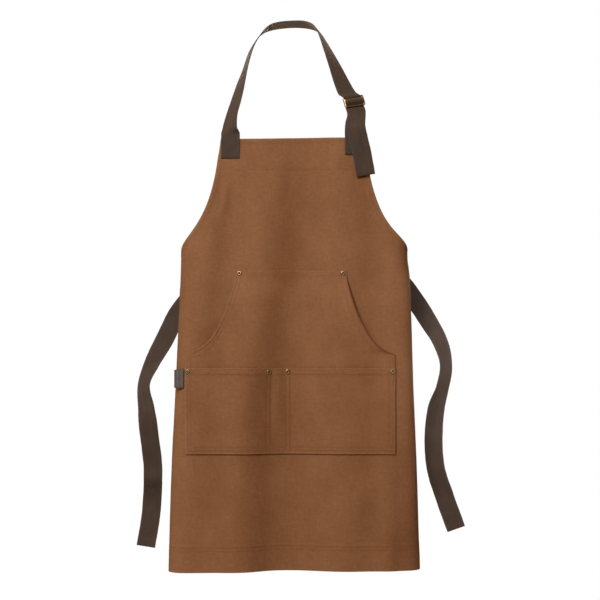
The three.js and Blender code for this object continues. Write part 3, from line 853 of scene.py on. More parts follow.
@dataclass
class HandPocket(Outlined):
    """The hand pocket with its two curved mouths."""

    top_edge: float = 265.0
    hem: float = 11.0
    corner: float = 434.0
    half_width: float = 213.0
    bottom: float = 631.0
    gape: float = 4.5
    gape_from: float = 330.0
    gape_to: float = 400.0
    gape_half: float = 150.0
    hem_rise: float = 0.25
    top_thin: float = 0.45
    curl: float = 4.4
    curl_width: float = 15.0
    lip: float = 1.0
    lip_width: float = 3.2
    # Width of the painted shade along the right mouth's edge.
    painted_shade_width: float = 2.6
    seam_reach: float = 10.0
    side_reach: float = 12.0
    mouth_downs: Row = (265, 290, 320, 348, 377, 400, 415, 425, 434)
    mouth_halves: Row = (112, 115.5, 123.5, 133, 147, 162, 177.5, 192.5, 213)
    mouth_hem: float = 13.0
    mouth_rows: Pair = (3.0, 12.0)
    top_rows: Pair = (267.8, 275.5)
    side_rows: Pair = (5.5, 12.0)
    columns: int = 84
    spread: float = 3.0
    row_step: float = 4.4
    corner_lines: Point = (-14, 6, 1.6)
    right_from: Pair = (60, 110)
    curl_to: float = 306.0
    curl_fade: Pair = (418, 434)
    hem_fade: Pair = (-6.0, 10.0)
    thin_over: float = 16.0
    mouth_fade: float = 0.5
    turn_room: float = 3.0
    turn_thick: float = 0.9
    lip_over: Pair = (6, 24)
    lip_end: float = 8.0
    mouth_steps: int = 60
    seam_end: float = 2.0
    side_start: float = 3.0
    side_slope: float = 0.7
    side_end: float = 4.0
    top_sewn: Pair = (0.05, 0.08)
    mouth_sewn: Pair = (0.14, 0.3)

    def half(self, v: Array) -> Array:
        """Half width of the pocket: its curved mouths, then straight sides."""
        return through(self.mouth_downs, self.mouth_halves, np.asarray(v, float))

    def grid(self) -> tuple[Array, Array, Array]:
        """Rows of the pocket, each as wide as its outline there."""
        above, below, step = self.corner_lines
        rows = merged(
            np.arange(self.top_edge, self.bottom, self.row_step),
            self.top_edge + EDGE_STEPS,
            np.arange(self.corner + above, self.corner + below, step),
            self.bottom - PLAIN_STEPS,
            [self.bottom],
        )
        return self.across(rows, self.top_edge, self.bottom)

    def lift(self, u: Array, v: Array) -> Array:
        """Where the pocket stands off the panel.

        Args:
            u: Places across.
            v: Places down.

        Returns:
            How far its back stands off.
        """
        opened = smoothstep(v, self.top_edge + self.hem, self.gape_from)
        closing = smoothstep(v, self.gape_to, self.bottom - self.seam_reach)
        sides = 1 - smoothstep(np.abs(u), self.gape_half, self.half_width - self.side_reach)
        curl = self.curl * bell(self.inside(u, v), self.curl_width)
        curl = curl * smoothstep(u, *self.right_from)
        curl = curl * smoothstep(v, self.top_edge + self.hem, self.curl_to)
        curl = curl * (1 - smoothstep(v, *self.curl_fade))
        return self.ply_gap + self.gape * opened * (1 - closing) * sides + curl

    def faces(self, u: Array, v: Array) -> tuple[Array, Array]:
        """The two faces: doubled in the top hem and behind the mouths' hems.

        Args:
            u: Places across.
            v: Places down.

        Returns:
            How far the front and the back stand off the panel.
        """
        back = self.lift(u, v)
        front = back + self.cloth
        inside, top = self.inside(u, v), self.top_edge
        hem_from, hem_to = (top + self.hem + fade for fade in self.hem_fade)
        in_top = 1 - smoothstep(v, hem_from, hem_to)
        thin = self.top_thin * (1 - smoothstep(v, top, top + self.thin_over))
        mouth_from, mouth_to = self.mouth_hem - self.mouth_fade, self.mouth_hem + self.mouth_fade
        at_mouth = 1 - smoothstep(inside, mouth_from, mouth_to)
        room = np.clip((back - self.ply_gap) / self.turn_room, 0, 1)
        lip_from, lip_to = (top + over for over in self.lip_over)
        lip = self.lip * bell(inside, self.lip_width) * smoothstep(v, lip_from, lip_to)
        lip = lip * (1 - smoothstep(v, self.corner - self.lip_end, self.corner))
        front = front + self.hem_rise * in_top - thin + lip
        return front, back - self.turn_thick * at_mouth * room

    def handled(self, u: Array, v: Array) -> Array:
        """Paints shade along the right mouth's edge and the side below it."""
        below_hem = smoothstep(v, self.top_edge, self.top_edge + 2 * self.hem)
        on_right = smoothstep(u, *self.right_from)
        return bell(self.inside(u, v), self.painted_shade_width) * on_right * below_hem

    def mouth(self, side: Side) -> Array:
        """The edge of one mouth, from the top edge to the corner."""
        v = np.linspace(self.top_edge, self.corner, self.mouth_steps)
        return np.stack([side.value * self.half(v), v], axis=-1)

    def seams(self) -> list[Seam]:
        """Top hem, mouth and short side seams."""
        seams = []
        for row in self.top_rows:
            reach = float(self.half(np.array(row))) - self.seam_end
            seams.append(Seam(level(reach, row), *self.top_sewn))
        limit = self.half_width - self.side_rows[0]
        for side in Side:
            for inset in self.mouth_rows:
                path = beside(self.mouth(side), inset * side.value)
                below_top = path[:, 1] > self.top_edge + self.seam_end
                shown = (np.abs(path[:, 0]) < limit) & below_top
                seams.append(Seam(path[shown], *self.mouth_sewn))
            for inset in self.side_rows:
                u = side.value * (self.half_width - inset)
                start = self.corner + self.side_start + self.side_slope * inset
                seams.append(Seam(line((u, start), (u, self.bottom - self.side_end))))
        return seams


@dataclass
class ToolPocket(Cloth):
    """The tool pocket sewn on the hand pocket, in three compartments."""

    hand: HandPocket = field(default_factory=lambda: HandPocket(Drape()))
    top_edge: float = 460.0
    hem: float = 13.0
    gapes: tuple[float, float, float] = (4.0, 3.0, 3.4)
    gape_to: float = 520.0
    cell: float = 6.0
    dividers: Pair = (-45.0, -3.5)
    divider_half: float = 4.0
    bottom_thin: float = 0.4
    top_rows: Pair = (462.6, 472.4)
    side_rows: Pair = (5.5, 12.0)
    bottom_rows: Pair = (6.0, 12.8)
    corner_cuts: Pair = (0.0, 7.0)
    columns: int = 92
    row_step: float = 4.2
    divider_lines: Row = (-7.5, -6, -5, -4, -3, -1.5, 0, 1.5, 3, 4, 5, 6, 7.5)
    bulge_power: float = 1.5
    hem_fade: Pair = (-2.0, 3.5)
    thin_over: float = 10.0
    # Strength of the painted shade along the right side's edge.
    painted_shade: float = 0.45
    seam_end: float = 4.0
    side_start: float = 3.0
    top_sewn: Pair = (0.24, 0.6)
    divider_sewn: Pair = (0.5, 1.2)

    def grid(self) -> tuple[Array, Array, Array]:
        """A plain rectangle, closer at its edges, hem and dividers."""
        half, bottom = self.hand.half_width, self.hand.bottom
        rows = merged(
            np.arange(self.top_edge, bottom, self.row_step),
            self.top_edge + EDGE_STEPS,
            bottom - EDGE_STEPS,
            [bottom],
        )
        across = merged(
            np.linspace(-half, half, self.columns),
            half - EDGE_STEPS,
            EDGE_STEPS - half,
            *(np.array(self.divider_lines) + d for d in self.dividers),
        )
        u, v = np.meshgrid(across, rows)
        sides = half - np.abs(u)
        return u, v, np.minimum(sides, np.minimum(v - self.top_edge, bottom - v))

    def lift(self, u: Array, v: Array) -> Array:
        """Where the three compartments stand off the panel.

        Args:
            u: Places across.
            v: Places down.

        Returns:
            How far the pocket's back stands off.
        """
        outer = self.hand.half_width - self.cell
        stops = (-outer, *self.dividers, outer)
        bulge = np.zeros(np.shape(u))
        for a, b, gape in zip(stops[:-1], stops[1:], self.gapes):
            low, high = a + self.cell, b - self.cell
            t = np.clip((u - low) / (high - low), 0, 1)
            bulge = bulge + gape * (1 - (2 * t - 1) ** 2) ** self.bulge_power
        closing = smoothstep(v, self.gape_to, self.hand.bottom - self.hand.seam_reach)
        return self.hand.lift(u, v) + self.cloth + self.ply_gap + bulge * (1 - closing)

    def faces(self, u: Array, v: Array) -> tuple[Array, Array]:
        """The two faces: doubled in the top hem.

        Args:
            u: Places across.
            v: Places down.

        Returns:
            How far the front and the back stand off the panel.
        """
        back = self.lift(u, v)
        hem_from, hem_to = (self.top_edge + self.hem + fade for fade in self.hem_fade)
        in_top = 1 - smoothstep(v, hem_from, hem_to)
        bottom = self.hand.bottom
        thin = self.bottom_thin * smoothstep(v, bottom - self.thin_over, bottom)
        return back + self.cloth + self.hem_rise * in_top - thin, back

    def handled(self, u: Array, v: Array) -> Array:
        """Paints shade along the right side's edge."""
        return self.painted_shade * bell(self.hand.half_width - u, self.hand.painted_shade_width)

    def around(self, start: float) -> list[Array]:
        """The two rows of sewing down the sides and along the bottom.

        Args:
            start: The height where both rows start and end.

        Returns:
            The rows' paths.
        """
        paths = []
        for side, base, cut in zip(self.side_rows, self.bottom_rows, self.corner_cuts):
            u, v = self.hand.half_width - side, self.hand.bottom - base
            left, right = ((-u, start), (-u, v - cut)), ((u, v - cut), (u, start))
            paths.append(line(*left, (cut - u, v), (u - cut, v), *right))
        return paths

    def seams(self) -> list[Seam]:
        """Top hem, divider, side and bottom seams."""
        reach = self.hand.half_width - self.seam_end
        seams = [Seam(level(reach, row), *self.top_sewn) for row in self.top_rows]
        seams += [Seam(path) for path in self.around(self.top_edge + self.side_start)]
        start = self.top_edge + self.hem + self.seam_end
        end = self.hand.bottom - self.bottom_rows[0]
        for middle in self.dividers:
            for u in (middle - self.divider_half, middle + self.divider_half):
                seams.append(Seam(line((u, start), (u, end)), *self.divider_sewn))
        return seams


@dataclass
class Thread:
    """Sewing thread: rows of single stitches that dip into the cloth at their ends."""

    pitch: float = 3.3
    gap: float = 0.7
    radius: float = 0.3
    lift: float = 0.16
    sides: int = 5
    wander: float = 0.1
    seed: int = 5
    arch: float = 0.09
    dip: float = 0.26
    flatness: float = 0.8
    shares: Row = (0.0, 0.22, 0.5, 0.78, 1.0)
    taper: Row = (0.45, 0.95, 1.05, 0.95, 0.45)

    def stitches(
        self, path: Array, surface: Surface, rng: np.random.Generator
    ) -> tuple[Array, Array]:
        """Rings of points for every stitch along one path.

        Args:
            path: The seam's path in the surface's coordinates.
            surface: Where the thread lies.
            rng: Source of the small unevenness.

        Returns:
            Points as stitches by rings by sides, and the thread's own coordinates.
        """
        marks = lengths(path)
        count = max(int(marks[-1] / self.pitch), 1)
        step = marks[-1] / count
        start = np.arange(count)[:, None] * step
        share = np.array(self.shares)
        along = start + self.gap / 2 + share * (step - self.gap)
        a = np.interp(along, marks, path[:, 0])
        b = np.interp(along, marks, path[:, 1])
        points, ways = surface(a.ravel(), b.ravel())
        points = points.reshape(count, len(share), 3)
        ways = unit(ways.reshape(count, len(share), 3).mean(axis=1))[:, None, :]
        run = unit(points[:, -1] - points[:, 0])[:, None, :]
        across = np.cross(run, ways)
        at_end = (share == 0) | (share == 1)
        rise = self.lift + self.arch * np.sin(np.pi * share) - self.dip * at_end
        stray = rng.normal(0, self.wander, (count, 1)) * (share - 0.5)
        points = points + ways * rise[None, :, None] + across * stray[..., None]
        turn = np.linspace(0, 2 * np.pi, self.sides, endpoint=False)
        thick = self.radius * np.array(self.taper)
        ring = across[:, :, None, :] * np.cos(turn)[None, None, :, None]
        ring = ring + self.flatness * ways[:, :, None, :] * np.sin(turn)[None, None, :, None]
        shape = points[:, :, None, :] + ring * thick[None, :, None, None]
        own = np.stack(np.broadcast_arrays(along[:, :, None], turn * self.radius), axis=-1)
        return shape, own

    def mesh(self, name: str, runs: Sequence[tuple[Array, Surface]]) -> Piece:
        """One mesh of all the stitches on several paths.

        Args:
            name: The piece's name.
            runs: Each path and the surface that it lies on.

        Returns:
            The thread's object.
        """
        rng = np.random.default_rng(self.seed)
        made = [self.stitches(path, surface, rng) for path, surface in runs]
        shapes = np.concatenate([m[0] for m in made])
        own = np.concatenate([m[1] for m in made])
        count, rings, sides = shapes.shape[:3]
        at = np.arange(count * rings * sides).reshape(count, rings, sides)
        turned = np.roll(at, -1, axis=2)
        walls = np.stack([at[:, :-1], turned[:, :-1], turned[:, 1:], at[:, 1:]], axis=-1)
        walls = walls.reshape(-1, 4)
        ends = np.concatenate([at[:, 0, ::-1], at[:, -1]])
        piece = new_mesh(name, to_row(shapes.reshape(-1, 3)), walls.tolist() + ends.tolist())
        set_layer(piece, own.reshape(-1, 2) * MM)
        return piece


def centripetal(points: Array, t: Array) -> Array:
    """A smooth curve through points, one unit of t from each to the next.

    Args:
        points: The points in order.
        t: Where to read the curve.

    Returns:
        Places on the curve.
    """
    padded = np.vstack([2 * points[0] - points[1], points, 2 * points[-1] - points[-2]])
    i = np.clip(np.floor(t).astype(int), 0, len(points) - 2)
    w = (t - i)[:, None]
    p0, p1, p2, p3 = (padded[i + k] for k in range(4))

    def gap(a: Array, b: Array) -> Array:
        """Square root of the distance between points."""
        return np.maximum(np.linalg.norm(b - a, axis=1) ** 0.5, 1e-6)[:, None]

    d0, d1, d2 = gap(p0, p1), gap(p1, p2), gap(p2, p3)
    leave = ((p1 - p0) / d0 - (p2 - p0) / (d0 + d1) + (p2 - p1) / d1) * d1
    arrive = ((p2 - p1) / d1 - (p3 - p1) / (d1 + d2) + (p3 - p2) / d2) * d1
    square, cube = w * w, w * w * w
    second = 3 * (p2 - p1) - 2 * leave - arrive
    third = 2 * (p1 - p2) + leave + arrive
    return p1 + leave * w + second * square + third * cube


@dataclass(frozen=True)
class Station:
    """A place on a strap's way, with its outer face, or its side where it runs askew."""

    place: Array
    face: Array | None = None
    side: Array | None = None


@dataclass(frozen=True)
class Stop:
    """A row of a strap's route: place, and the aim of its outer face in degrees."""

    x: float
    y: float
    z: float
    turn: float
    rise: float

    def station(self) -> Station:
        """The row as a station."""
        turn, rise = math.radians(self.turn), math.radians(self.rise)
        flat = math.cos(rise)
        aim = np.array([math.sin(turn) * flat, -math.cos(turn) * flat, math.sin(rise)])
        return Station(np.array([self.x, self.y, self.z], float), aim)


@dataclass
class Ribbon:
    """A strap of woven webbing along its stations."""

    stations: Sequence[Station]
    thick: float = 1.5
    wide: float = 38.0
    step: float = 2.6
    seed: int = 3
    edge_wave: float = 0.22
    across: Row = (1, 0.985, 0.955, 0.9, 0.72, 0.5, 0.26, 0)
    samples: int = 60
    close: float = 8.0
    close_steps: int = 5
    hem_gap: float = 0.25
    bend_steps: int = 11
    wave_cell: float = 9.0
    wave_shift: float = 100.0
    wave_power: int = 6
    wave_from: Pair = (3, 12)
    least_tip: float = 0.06
    wear_power: int = 10
    wear_width: float = 2.0

    def __post_init__(self) -> None:
        """Lays out the strap's middle line and the frames along it."""
        places = np.array([s.place for s in self.stations])
        last = len(places) - 1
        tiny = 1e-3

        def tangent(t: Array) -> Array:
            """Direction of the middle line."""
            before, after = np.clip(t - tiny, 0, last), np.clip(t + tiny, 0, last)
            return unit(centripetal(places, after) - centripetal(places, before))

        along = tangent(np.arange(last + 1.0))
        sides = unit(np.array([
            s.side if s.side is not None else np.cross(s.face, way)
            for s, way in zip(self.stations, along)
        ]))
        t = np.linspace(0, last, self.samples * last + 1)
        marks = lengths(centripetal(places, t))
        count = int(marks[-1] / self.step)
        even = np.interp(np.linspace(0, marks[-1], count + 1), marks, t)
        bends = np.unique(np.concatenate([even, self.extra(last)]))
        self.place = centripetal(places, bends)
        self.side = unit(centripetal(sides, bends))
        self.face = unit(np.cross(tangent(bends), self.side))
        self.marks = np.interp(bends, t, marks)
        self.length = float(marks[-1])

    def extra(self, last: int) -> Array:
        """Further sample places where stations lie close together.

        Args:
            last: Number of the last station.

        Returns:
            Places along the stations.
        """
        gaps = np.linalg.norm(np.diff(np.array([s.place for s in self.stations]), axis=0), axis=1)
        steps = np.linspace(0, 1, self.close_steps)
        near = [k + steps for k in np.flatnonzero(gaps < self.close)]
        return np.concatenate(near) if near else np.array([0.0, last])

    def turn_end(self, back: float) -> None:
        """Folds the strap's end back behind itself.

        Args:
            back: Length of the folded hem.
        """
        gap = self.thick + self.hem_gap
        keep = self.marks > self.length - back
        place, side, face = self.place[keep][::-1], self.side[keep][::-1], self.face[keep][::-1]
        along = np.cross(self.side[-1], self.face[-1])
        angles = np.linspace(0, np.pi, self.bend_steps)[1:-1, None]
        middle = self.place[-1] - self.face[-1] * gap / 2
        bend = middle + gap / 2 * (np.cos(angles) * self.face[-1] + np.sin(angles) * along)
        bend_face = np.cos(angles) * self.face[-1] + np.sin(angles) * along
        self.place = np.vstack([self.place, bend, place - face * gap])
        self.side = np.vstack([self.side, np.tile(self.side[-1], (len(bend), 1)), side])
        self.face = np.vstack([self.face, bend_face, -face])
        self.marks = lengths(self.place)

    def surface(self, face: Face) -> Surface:
        """One face of the strap, for thread to lie on.

        Args:
            face: Which face.

        Returns:
            A function that gives points and outward directions at places across and along it.
        """

        def read(a: Array, b: Array) -> tuple[Array, Array]:
            """Reads points and directions at places of the strap."""
            place, side, way = (
                np.stack([np.interp(b, self.marks, table[:, k]) for k in range(3)], axis=-1)
                for table in (self.place, self.side, self.face)
            )
            way = unit(way) * face.value
            return place + unit(side) * a[:, None] + way * self.thick / 2, way

        return read

    def mesh(self, name: str) -> Piece:
        """Builds the strap, with uneven sides and rounded edges and ends.

        Args:
            name: The piece's name.

        Returns:
            The strap's object.
        """
        share = np.array(self.across)
        share = np.concatenate([-share, share[-2::-1]])
        wave = Ripple(self.seed, self.wave_cell, 1)
        rows = self.marks[:, None]
        ends = np.minimum(rows, self.marks[-1] - rows)
        uneven = wave(rows + self.wave_shift * (share > 0), np.ones((1, len(share))))
        edge = self.edge_wave * uneven * np.abs(share) ** self.wave_power
        a = share * self.wide / 2 + np.sign(share) * edge * smoothstep(ends, *self.wave_from)
        rim = (1 - np.abs(share)) * self.wide / 2 + 0 * rows
        full = np.full(a.shape, self.thick / 2)
        half = rounded(full, -full, rim)[0] * round_end(ends, self.thick / 2, self.least_tip)
        middle = self.place[:, None, :] + self.side[:, None, :] * a[..., None]
        out = self.face[:, None, :] * half[..., None]
        uv = np.stack([a, np.broadcast_to(rows, a.shape)], axis=-1)
        wear = np.abs(share) ** self.wear_power + 0 * rows
        wear = np.maximum(wear, bell(ends, self.wear_width))
        return shell(name, middle + out, middle - out, uv, wear=wear)


class Socket:
    """A shader value that can be used in Python expressions."""

    def __init__(self, dress: "Dress", socket: bpy.types.NodeSocket) -> None:
        """Wraps an output socket of a material's nodes."""
        self.dress = dress
        self.socket = socket

    def math(self, operation: str, *others: "Socket | float") -> "Socket":
        """Adds a Math node that starts from this value."""
        values = dict(enumerate((self, *others)))
        return self.dress.node("ShaderNodeMath", {"operation": operation}, values).out(0)

    def __add__(self, other: "Socket | float") -> "Socket":
        """This value plus another."""
        return self.math("ADD", other)

    def __radd__(self, other: float) -> "Socket":
        """A number plus this value."""
        return self.math("ADD", other)

    def __sub__(self, other: "Socket | float") -> "Socket":
        """This value less another."""
        return self.math("SUBTRACT", other)

    def __rsub__(self, other: float) -> "Socket":
        """A number less this value."""
        return (self * -1.0) + other

    def __mul__(self, other: "Socket | float") -> "Socket":
        """This value times another."""
        return self.math("MULTIPLY", other)

    def __rmul__(self, other: float) -> "Socket":
        """A number times this value."""
        return self.math("MULTIPLY", other)

    def sin(self) -> "Socket":
        """The sine of this value."""
        return self.math("SINE")

    def abs(self) -> "Socket":
        """This value without its sign."""
        return self.math("ABSOLUTE")

    def between(self, low: float, high: float) -> "Socket":
        """Eases this value from 0 at low to 1 at high."""
        settings = {"interpolation_type": "SMOOTHSTEP"}
        return self.dress.node("ShaderNodeMapRange", settings, {0: self, 1: low, 2: high}).out(0)


class Outputs:
    """The outputs of one node."""

    def __init__(self, dress: "Dress", node: bpy.types.Node) -> None:
        """Wraps a node."""
        self.dress = dress
        self.source = node

    def out(self, key: int | str) -> Socket:
        """One output, by its number or name."""
        return Socket(self.dress, self.source.outputs[key])


class Dress:
    """A material and the nodes that are added to it."""

    def __init__(self, name: str) -> None:
        """Starts a material with one surface shader."""
        self.material = bpy.data.materials.new(name)
        self.material.use_nodes = True
        self.tree = self.material.node_tree
        self.tree.nodes.clear()
        self.shader = self.tree.nodes.new("ShaderNodeBsdfPrincipled")
        end = self.tree.nodes.new("ShaderNodeOutputMaterial")
        self.tree.links.new(self.shader.outputs[0], end.inputs[0])

    def node(self, kind: str, settings: dict[str, Any], values: dict[int | str, Any]) -> Outputs:
        """Adds a node.

        Args:
            kind: The node's type.
            settings: Its settings, a ramp's stops among them.
            values: The values or links of its inputs.

        Returns:
            The node's outputs.
        """
        node = self.tree.nodes.new(kind)
        for key, value in settings.items():
            if key == "stops":
                ramp = node.color_ramp.elements
                while len(ramp) < len(value):
                    ramp.new(1.0)
                for element, (place, colour) in zip(ramp, value):
                    element.position = place
                    element.color = (*colour, 1.0)
            else:
                setattr(node, key, value)
        for key, value in values.items():
            self.feed(node.inputs[key], value)
        return Outputs(self, node)

    def feed(self, target: bpy.types.NodeSocket, value: Any) -> None:
        """Sets or links one input.

        Args:
            target: The input.
            value: A value, a colour or another node's output.
        """
        if isinstance(value, Socket):
            self.tree.links.new(value.socket, target)
        elif isinstance(value, tuple) and len(value) == 3 and target.type == "RGBA":
            target.default_value = (*value, 1.0)
        else:
            target.default_value = value

    def cloth(self) -> tuple[Socket, Socket, Socket]:
        """The piece's own coordinates in metres: the vector, across and along."""
        vector = self.node("ShaderNodeUVMap", {"uv_map": "cloth"}, {}).out(0)
        parts = self.node("ShaderNodeSeparateXYZ", {}, {0: vector})
        return vector, parts.out(0), parts.out(1)

    def place(self) -> Socket:
        """Object coordinates."""
        return self.node("ShaderNodeTexCoord", {}, {}).out("Object")

    def noise(self, vector: Socket, stretch: Point, detail: float = 2.0) -> Socket:
        """Adds noise.

        Args:
            vector: Where it is read.
            stretch: Its scale along each direction.
            detail: How fine it goes.

        Returns:
            Values from 0 to 1.
        """
        inputs = {0: vector, 1: stretch}
        scaled = self.node("ShaderNodeVectorMath", {"operation": "MULTIPLY"}, inputs).out(0)
        values = {"Vector": scaled, "Scale": 1.0, "Detail": detail, "Roughness": 0.55}
        return self.node("ShaderNodeTexNoise", {}, values).out(0)

    def mark(self, name: str) -> Socket:
        """A point mark of the mesh."""
        return self.node("ShaderNodeAttribute", {"attribute_name": name}, {}).out("Fac")

    def ramp(self, value: Socket, *stops: tuple[float, Colour]) -> Socket:
        """Colours from a value."""
        return self.node("ShaderNodeValToRGB", {"stops": stops}, {0: value}).out(0)

    def mix(self, share: Socket | float, first: Any, second: Any) -> Socket:
        """Mixes two colours."""
        settings = {"data_type": "RGBA"}
        return self.node("ShaderNodeMix", settings, {0: share, 6: first, 7: second}).out(2)

    def bump(self, height: Socket, depth: float, strength: float = 1.0) -> Socket:
        """Small relief from a height of 0 to 1 and its depth in metres."""
        inputs = {"Strength": strength, "Distance": depth, "Height": height}
        return self.node("ShaderNodeBump", {}, inputs).out(0)

    def finish(self, **inputs: Any) -> bpy.types.Material:
        """Feeds the surface shader.

        Args:
            inputs: Values by input name, with an underscore for a space.

        Returns:
            The finished material.
        """
        for key, value in inputs.items():
            self.feed(self.shader.inputs[key.replace("_", " ")], value)
        return self.material


def srgb(red: int, green: int, blue: int) -> Colour:
    """A colour given by its screen values."""

    def linear(value: int) -> float:
        """One screen value as light."""
        c = value / 255
        return c / 12.92 if c <= 0.04045 else ((c + 0.055) / 1.055) ** 2.4

    return linear(red), linear(green), linear(blue)


@dataclass(frozen=True)
class Canvas:
    """Matt cotton duck: plain weave with slubs, paler on worn edges, deeper along seams with dirt
    and painted shade, and painted shade along the pockets' right edges.
    """

    name: str = "canvas"
    deep: Colour = srgb(104, 64, 37)
    plain: Colour = srgb(122, 80, 50)
    pale: Colour = srgb(140, 97, 65)
    worn: Colour = srgb(155, 110, 77)
    # Colour of the painted shade along the pockets' right edges.
    painted_shade: Colour = srgb(88, 39, 12)
    yarn: float = 0.00062

    def material(self) -> bpy.types.Material:
        """Builds the material."""
        dress = Dress(self.name)
        vector, across, along = dress.cloth()
        warp = (across * (math.pi / self.yarn)).sin()
        weft = (along * (math.pi / self.yarn)).sin()
        over = warp * weft * 0.5 + 0.5
        weave = over * warp.abs() + (1 - over) * weft.abs()
        slub = dress.noise(vector, (34, 620, 1))
        cord = dress.noise(vector, (700, 30, 1))
        cloud = dress.noise(vector, (16, 12, 1), 4.0)
        fleck = dress.noise(vector, (150, 150, 1), 2.0)
        tone = slub * 0.2 + cord * 0.16 + cloud * 0.34 + fleck * 0.24 + weave * 0.16
        colour = dress.ramp(tone, (0.30, self.deep), (0.54, self.plain), (0.80, self.pale))
        frayed = dress.noise(vector, (260, 260, 1), 3.0).between(0.38, 0.68)
        colour = dress.mix(dress.mark("wear") * frayed * 0.55, colour, self.worn)
        # Deeper along the seams: partly dirt, partly painted shade in their grooves.
        colour = dress.mix(dress.mark("sewn") * 0.34, colour, self.deep)
        # Painted shade: a dark line along the pockets' right edges.
        colour = dress.mix(dress.mark("handled") * 0.8, colour, self.painted_shade)
        height = weave * 0.5 + slub * 0.5 + cord * 0.28
        return dress.finish(
            Base_Color=colour,
            Roughness=(0.56 + weave * 0.1),
            Normal=dress.bump(height, 0.00035, 0.4),
            Sheen_Weight=0.01,
            Sheen_Roughness=0.6,
            Specular_IOR_Level=0.1,
        )


@dataclass(frozen=True)
class Web:
    """Woven cotton webbing: fine ribs along it in a shallow chevron, and firm edges."""

    name: str = "webbing"
    deep: Colour = srgb(45, 34, 27)
    plain: Colour = srgb(68, 54, 45)
    pale: Colour = srgb(90, 75, 64)
    fuzz: Colour = srgb(206, 176, 156)
    rib: float = 0.0019
    pick: float = 0.0011
    chevron: float = 0.0095
    chevron_deep: float = 0.0032

    def material(self) -> bpy.types.Material:
        """Builds the material."""
        dress = Dress(self.name)
        vector, across, along = dress.cloth()
        fold = (across * (math.pi / self.chevron)).sin().abs() * self.chevron_deep
        chevron = ((along + fold) * (2 * math.pi / self.rib)).sin() * 0.5 + 0.5
        cord = (across * (math.pi / self.pick)).sin().abs()
        weave = chevron * 0.6 + cord * 0.4
        cloud = dress.noise(vector, (40, 22, 1), 3.0)
        fleck = dress.noise(vector, (900, 500, 1), 1.0)
        streak = dress.noise(vector, (430, 5, 1), 2.0)
        tone = weave * 0.34 + cloud * 0.28 + fleck * 0.12 + streak * 0.26
        colour = dress.ramp(tone, (0.26, self.deep), (0.52, self.plain), (0.8, self.pale))
        colour = dress.mix(dress.mark("wear") * 0.3, colour, self.pale)
        return dress.finish(
            Base_Color=colour,
            Roughness=(0.92 - weave * 0.14),
            Normal=dress.bump(weave, 0.00045, 0.35),
            Sheen_Weight=0.29,
            Sheen_Roughness=0.45,
            Sheen_Tint=(*self.fuzz, 1.0),
            Specular_IOR_Level=0.12,
        )


@dataclass(frozen=True)
class TapeFinish:
    """Close-woven tape with fine ribs."""

    name: str = "tape"
    deep: Colour = srgb(58, 47, 40)
    plain: Colour = srgb(79, 66, 57)
    pale: Colour = srgb(100, 87, 77)
    grey: Colour = srgb(104, 103, 106)
    rib: float = 0.0009
    band: float = 0.0085

    def material(self) -> bpy.types.Material:
        """Builds the material."""
        dress = Dress(self.name)
        vector, across, along = dress.cloth()
        ribs = (across * (math.pi / self.rib)).sin().abs()
        picks = (along * (math.pi / (self.rib * 0.6))).sin().abs()
        cloud = dress.noise(vector, (110, 90, 1), 3.0)
        tone = ribs * 0.35 + picks * 0.15 + cloud * 0.5
        colour = dress.ramp(tone, (0.22, self.deep), (0.5, self.plain), (0.8, self.pale))
        stripe = (across * (math.pi / self.band)).sin().abs().between(0.82, 1.0)
        colour = dress.mix(stripe * 0.4, colour, self.grey)
        # Darker towards the tab's edges and its folded end.
        colour = dress.mix(dress.mark("wear") * 0.5, colour, self.deep)
        return dress.finish(
            Base_Color=colour,
            Roughness=(0.8 + cloud * 0.15),
            Normal=dress.bump(ribs * 0.7 + picks * 0.3, 0.0003, 0.7),
            Sheen_Weight=0.15,
            Specular_IOR_Level=0.25,
        )


@dataclass(frozen=True)
class ThreadFinish:
    """Twisted sewing thread."""

    name: str
    dark: Colour
    light: Colour
    twist: float = 0.0009

    def material(self) -> bpy.types.Material:
        """Builds the material."""
        dress = Dress(self.name)
        vector, across, along = dress.cloth()
        ply = ((across + along * 1.2) * (math.pi / self.twist)).sin().abs()
        cloud = dress.noise(vector, (60, 60, 1))
        tone = ply * 0.5 + cloud * 0.5
        return dress.finish(
            Base_Color=dress.ramp(tone, (0.25, self.dark), (0.75, self.light)),
            Roughness=(0.72 + cloud * 0.16),
            Normal=dress.bump(ply, 0.00012, 0.6),
            Sheen_Weight=0.1,
            Specular_IOR_Level=0.3,
        )


@dataclass(frozen=True)
class Brass:
    """Antique brass: bright where it is rubbed, dark and greenish in its hollows."""

    name: str = "antique_brass"
    bright: Colour = srgb(166, 143, 106)
    plain: Colour = srgb(126, 104, 68)
    dark: Colour = srgb(46, 40, 20)

    def material(self) -> bpy.types.Material:
        """Builds the material."""
        dress = Dress(self.name)
        place = dress.place()
        cloud = dress.noise(place, (520, 520, 520), 3.0)
        speck = dress.noise(place, (2600, 2600, 2600), 1.0)
        hollow = dress.mark("hollow")
        colour = dress.ramp(cloud * 0.7 + speck * 0.3, (0.3, self.plain), (0.7, self.bright))
        colour = dress.mix((hollow * (0.72 + cloud * 0.4)).between(0.1, 0.9), colour, self.dark)
        return dress.finish(
            Base_Color=colour,
            Metallic=(1.0 - hollow * 0.35),
            Roughness=(0.3 + cloud * 0.2 + hollow * 0.25),
            Normal=dress.bump(speck, 0.00005, 0.4),
        )


@dataclass(frozen=True)
class Plaster:
    """Pale studio floor."""

    name: str = "pale_floor"
    tone: Colour = srgb(214, 213, 211)
    shade: Colour = srgb(205, 204, 202)

    def material(self) -> bpy.types.Material:
        """Builds the material."""
        dress = Dress(self.name)
        cloud = dress.noise(dress.place(), (1.4, 1.4, 1.4), 3.0)
        colour = dress.ramp(cloud, (0.3, self.shade), (0.7, self.tone))
        rough = 0.7 + cloud * 0.2
        return dress.finish(Base_Color=colour, Roughness=rough, Specular_IOR_Level=0.2)


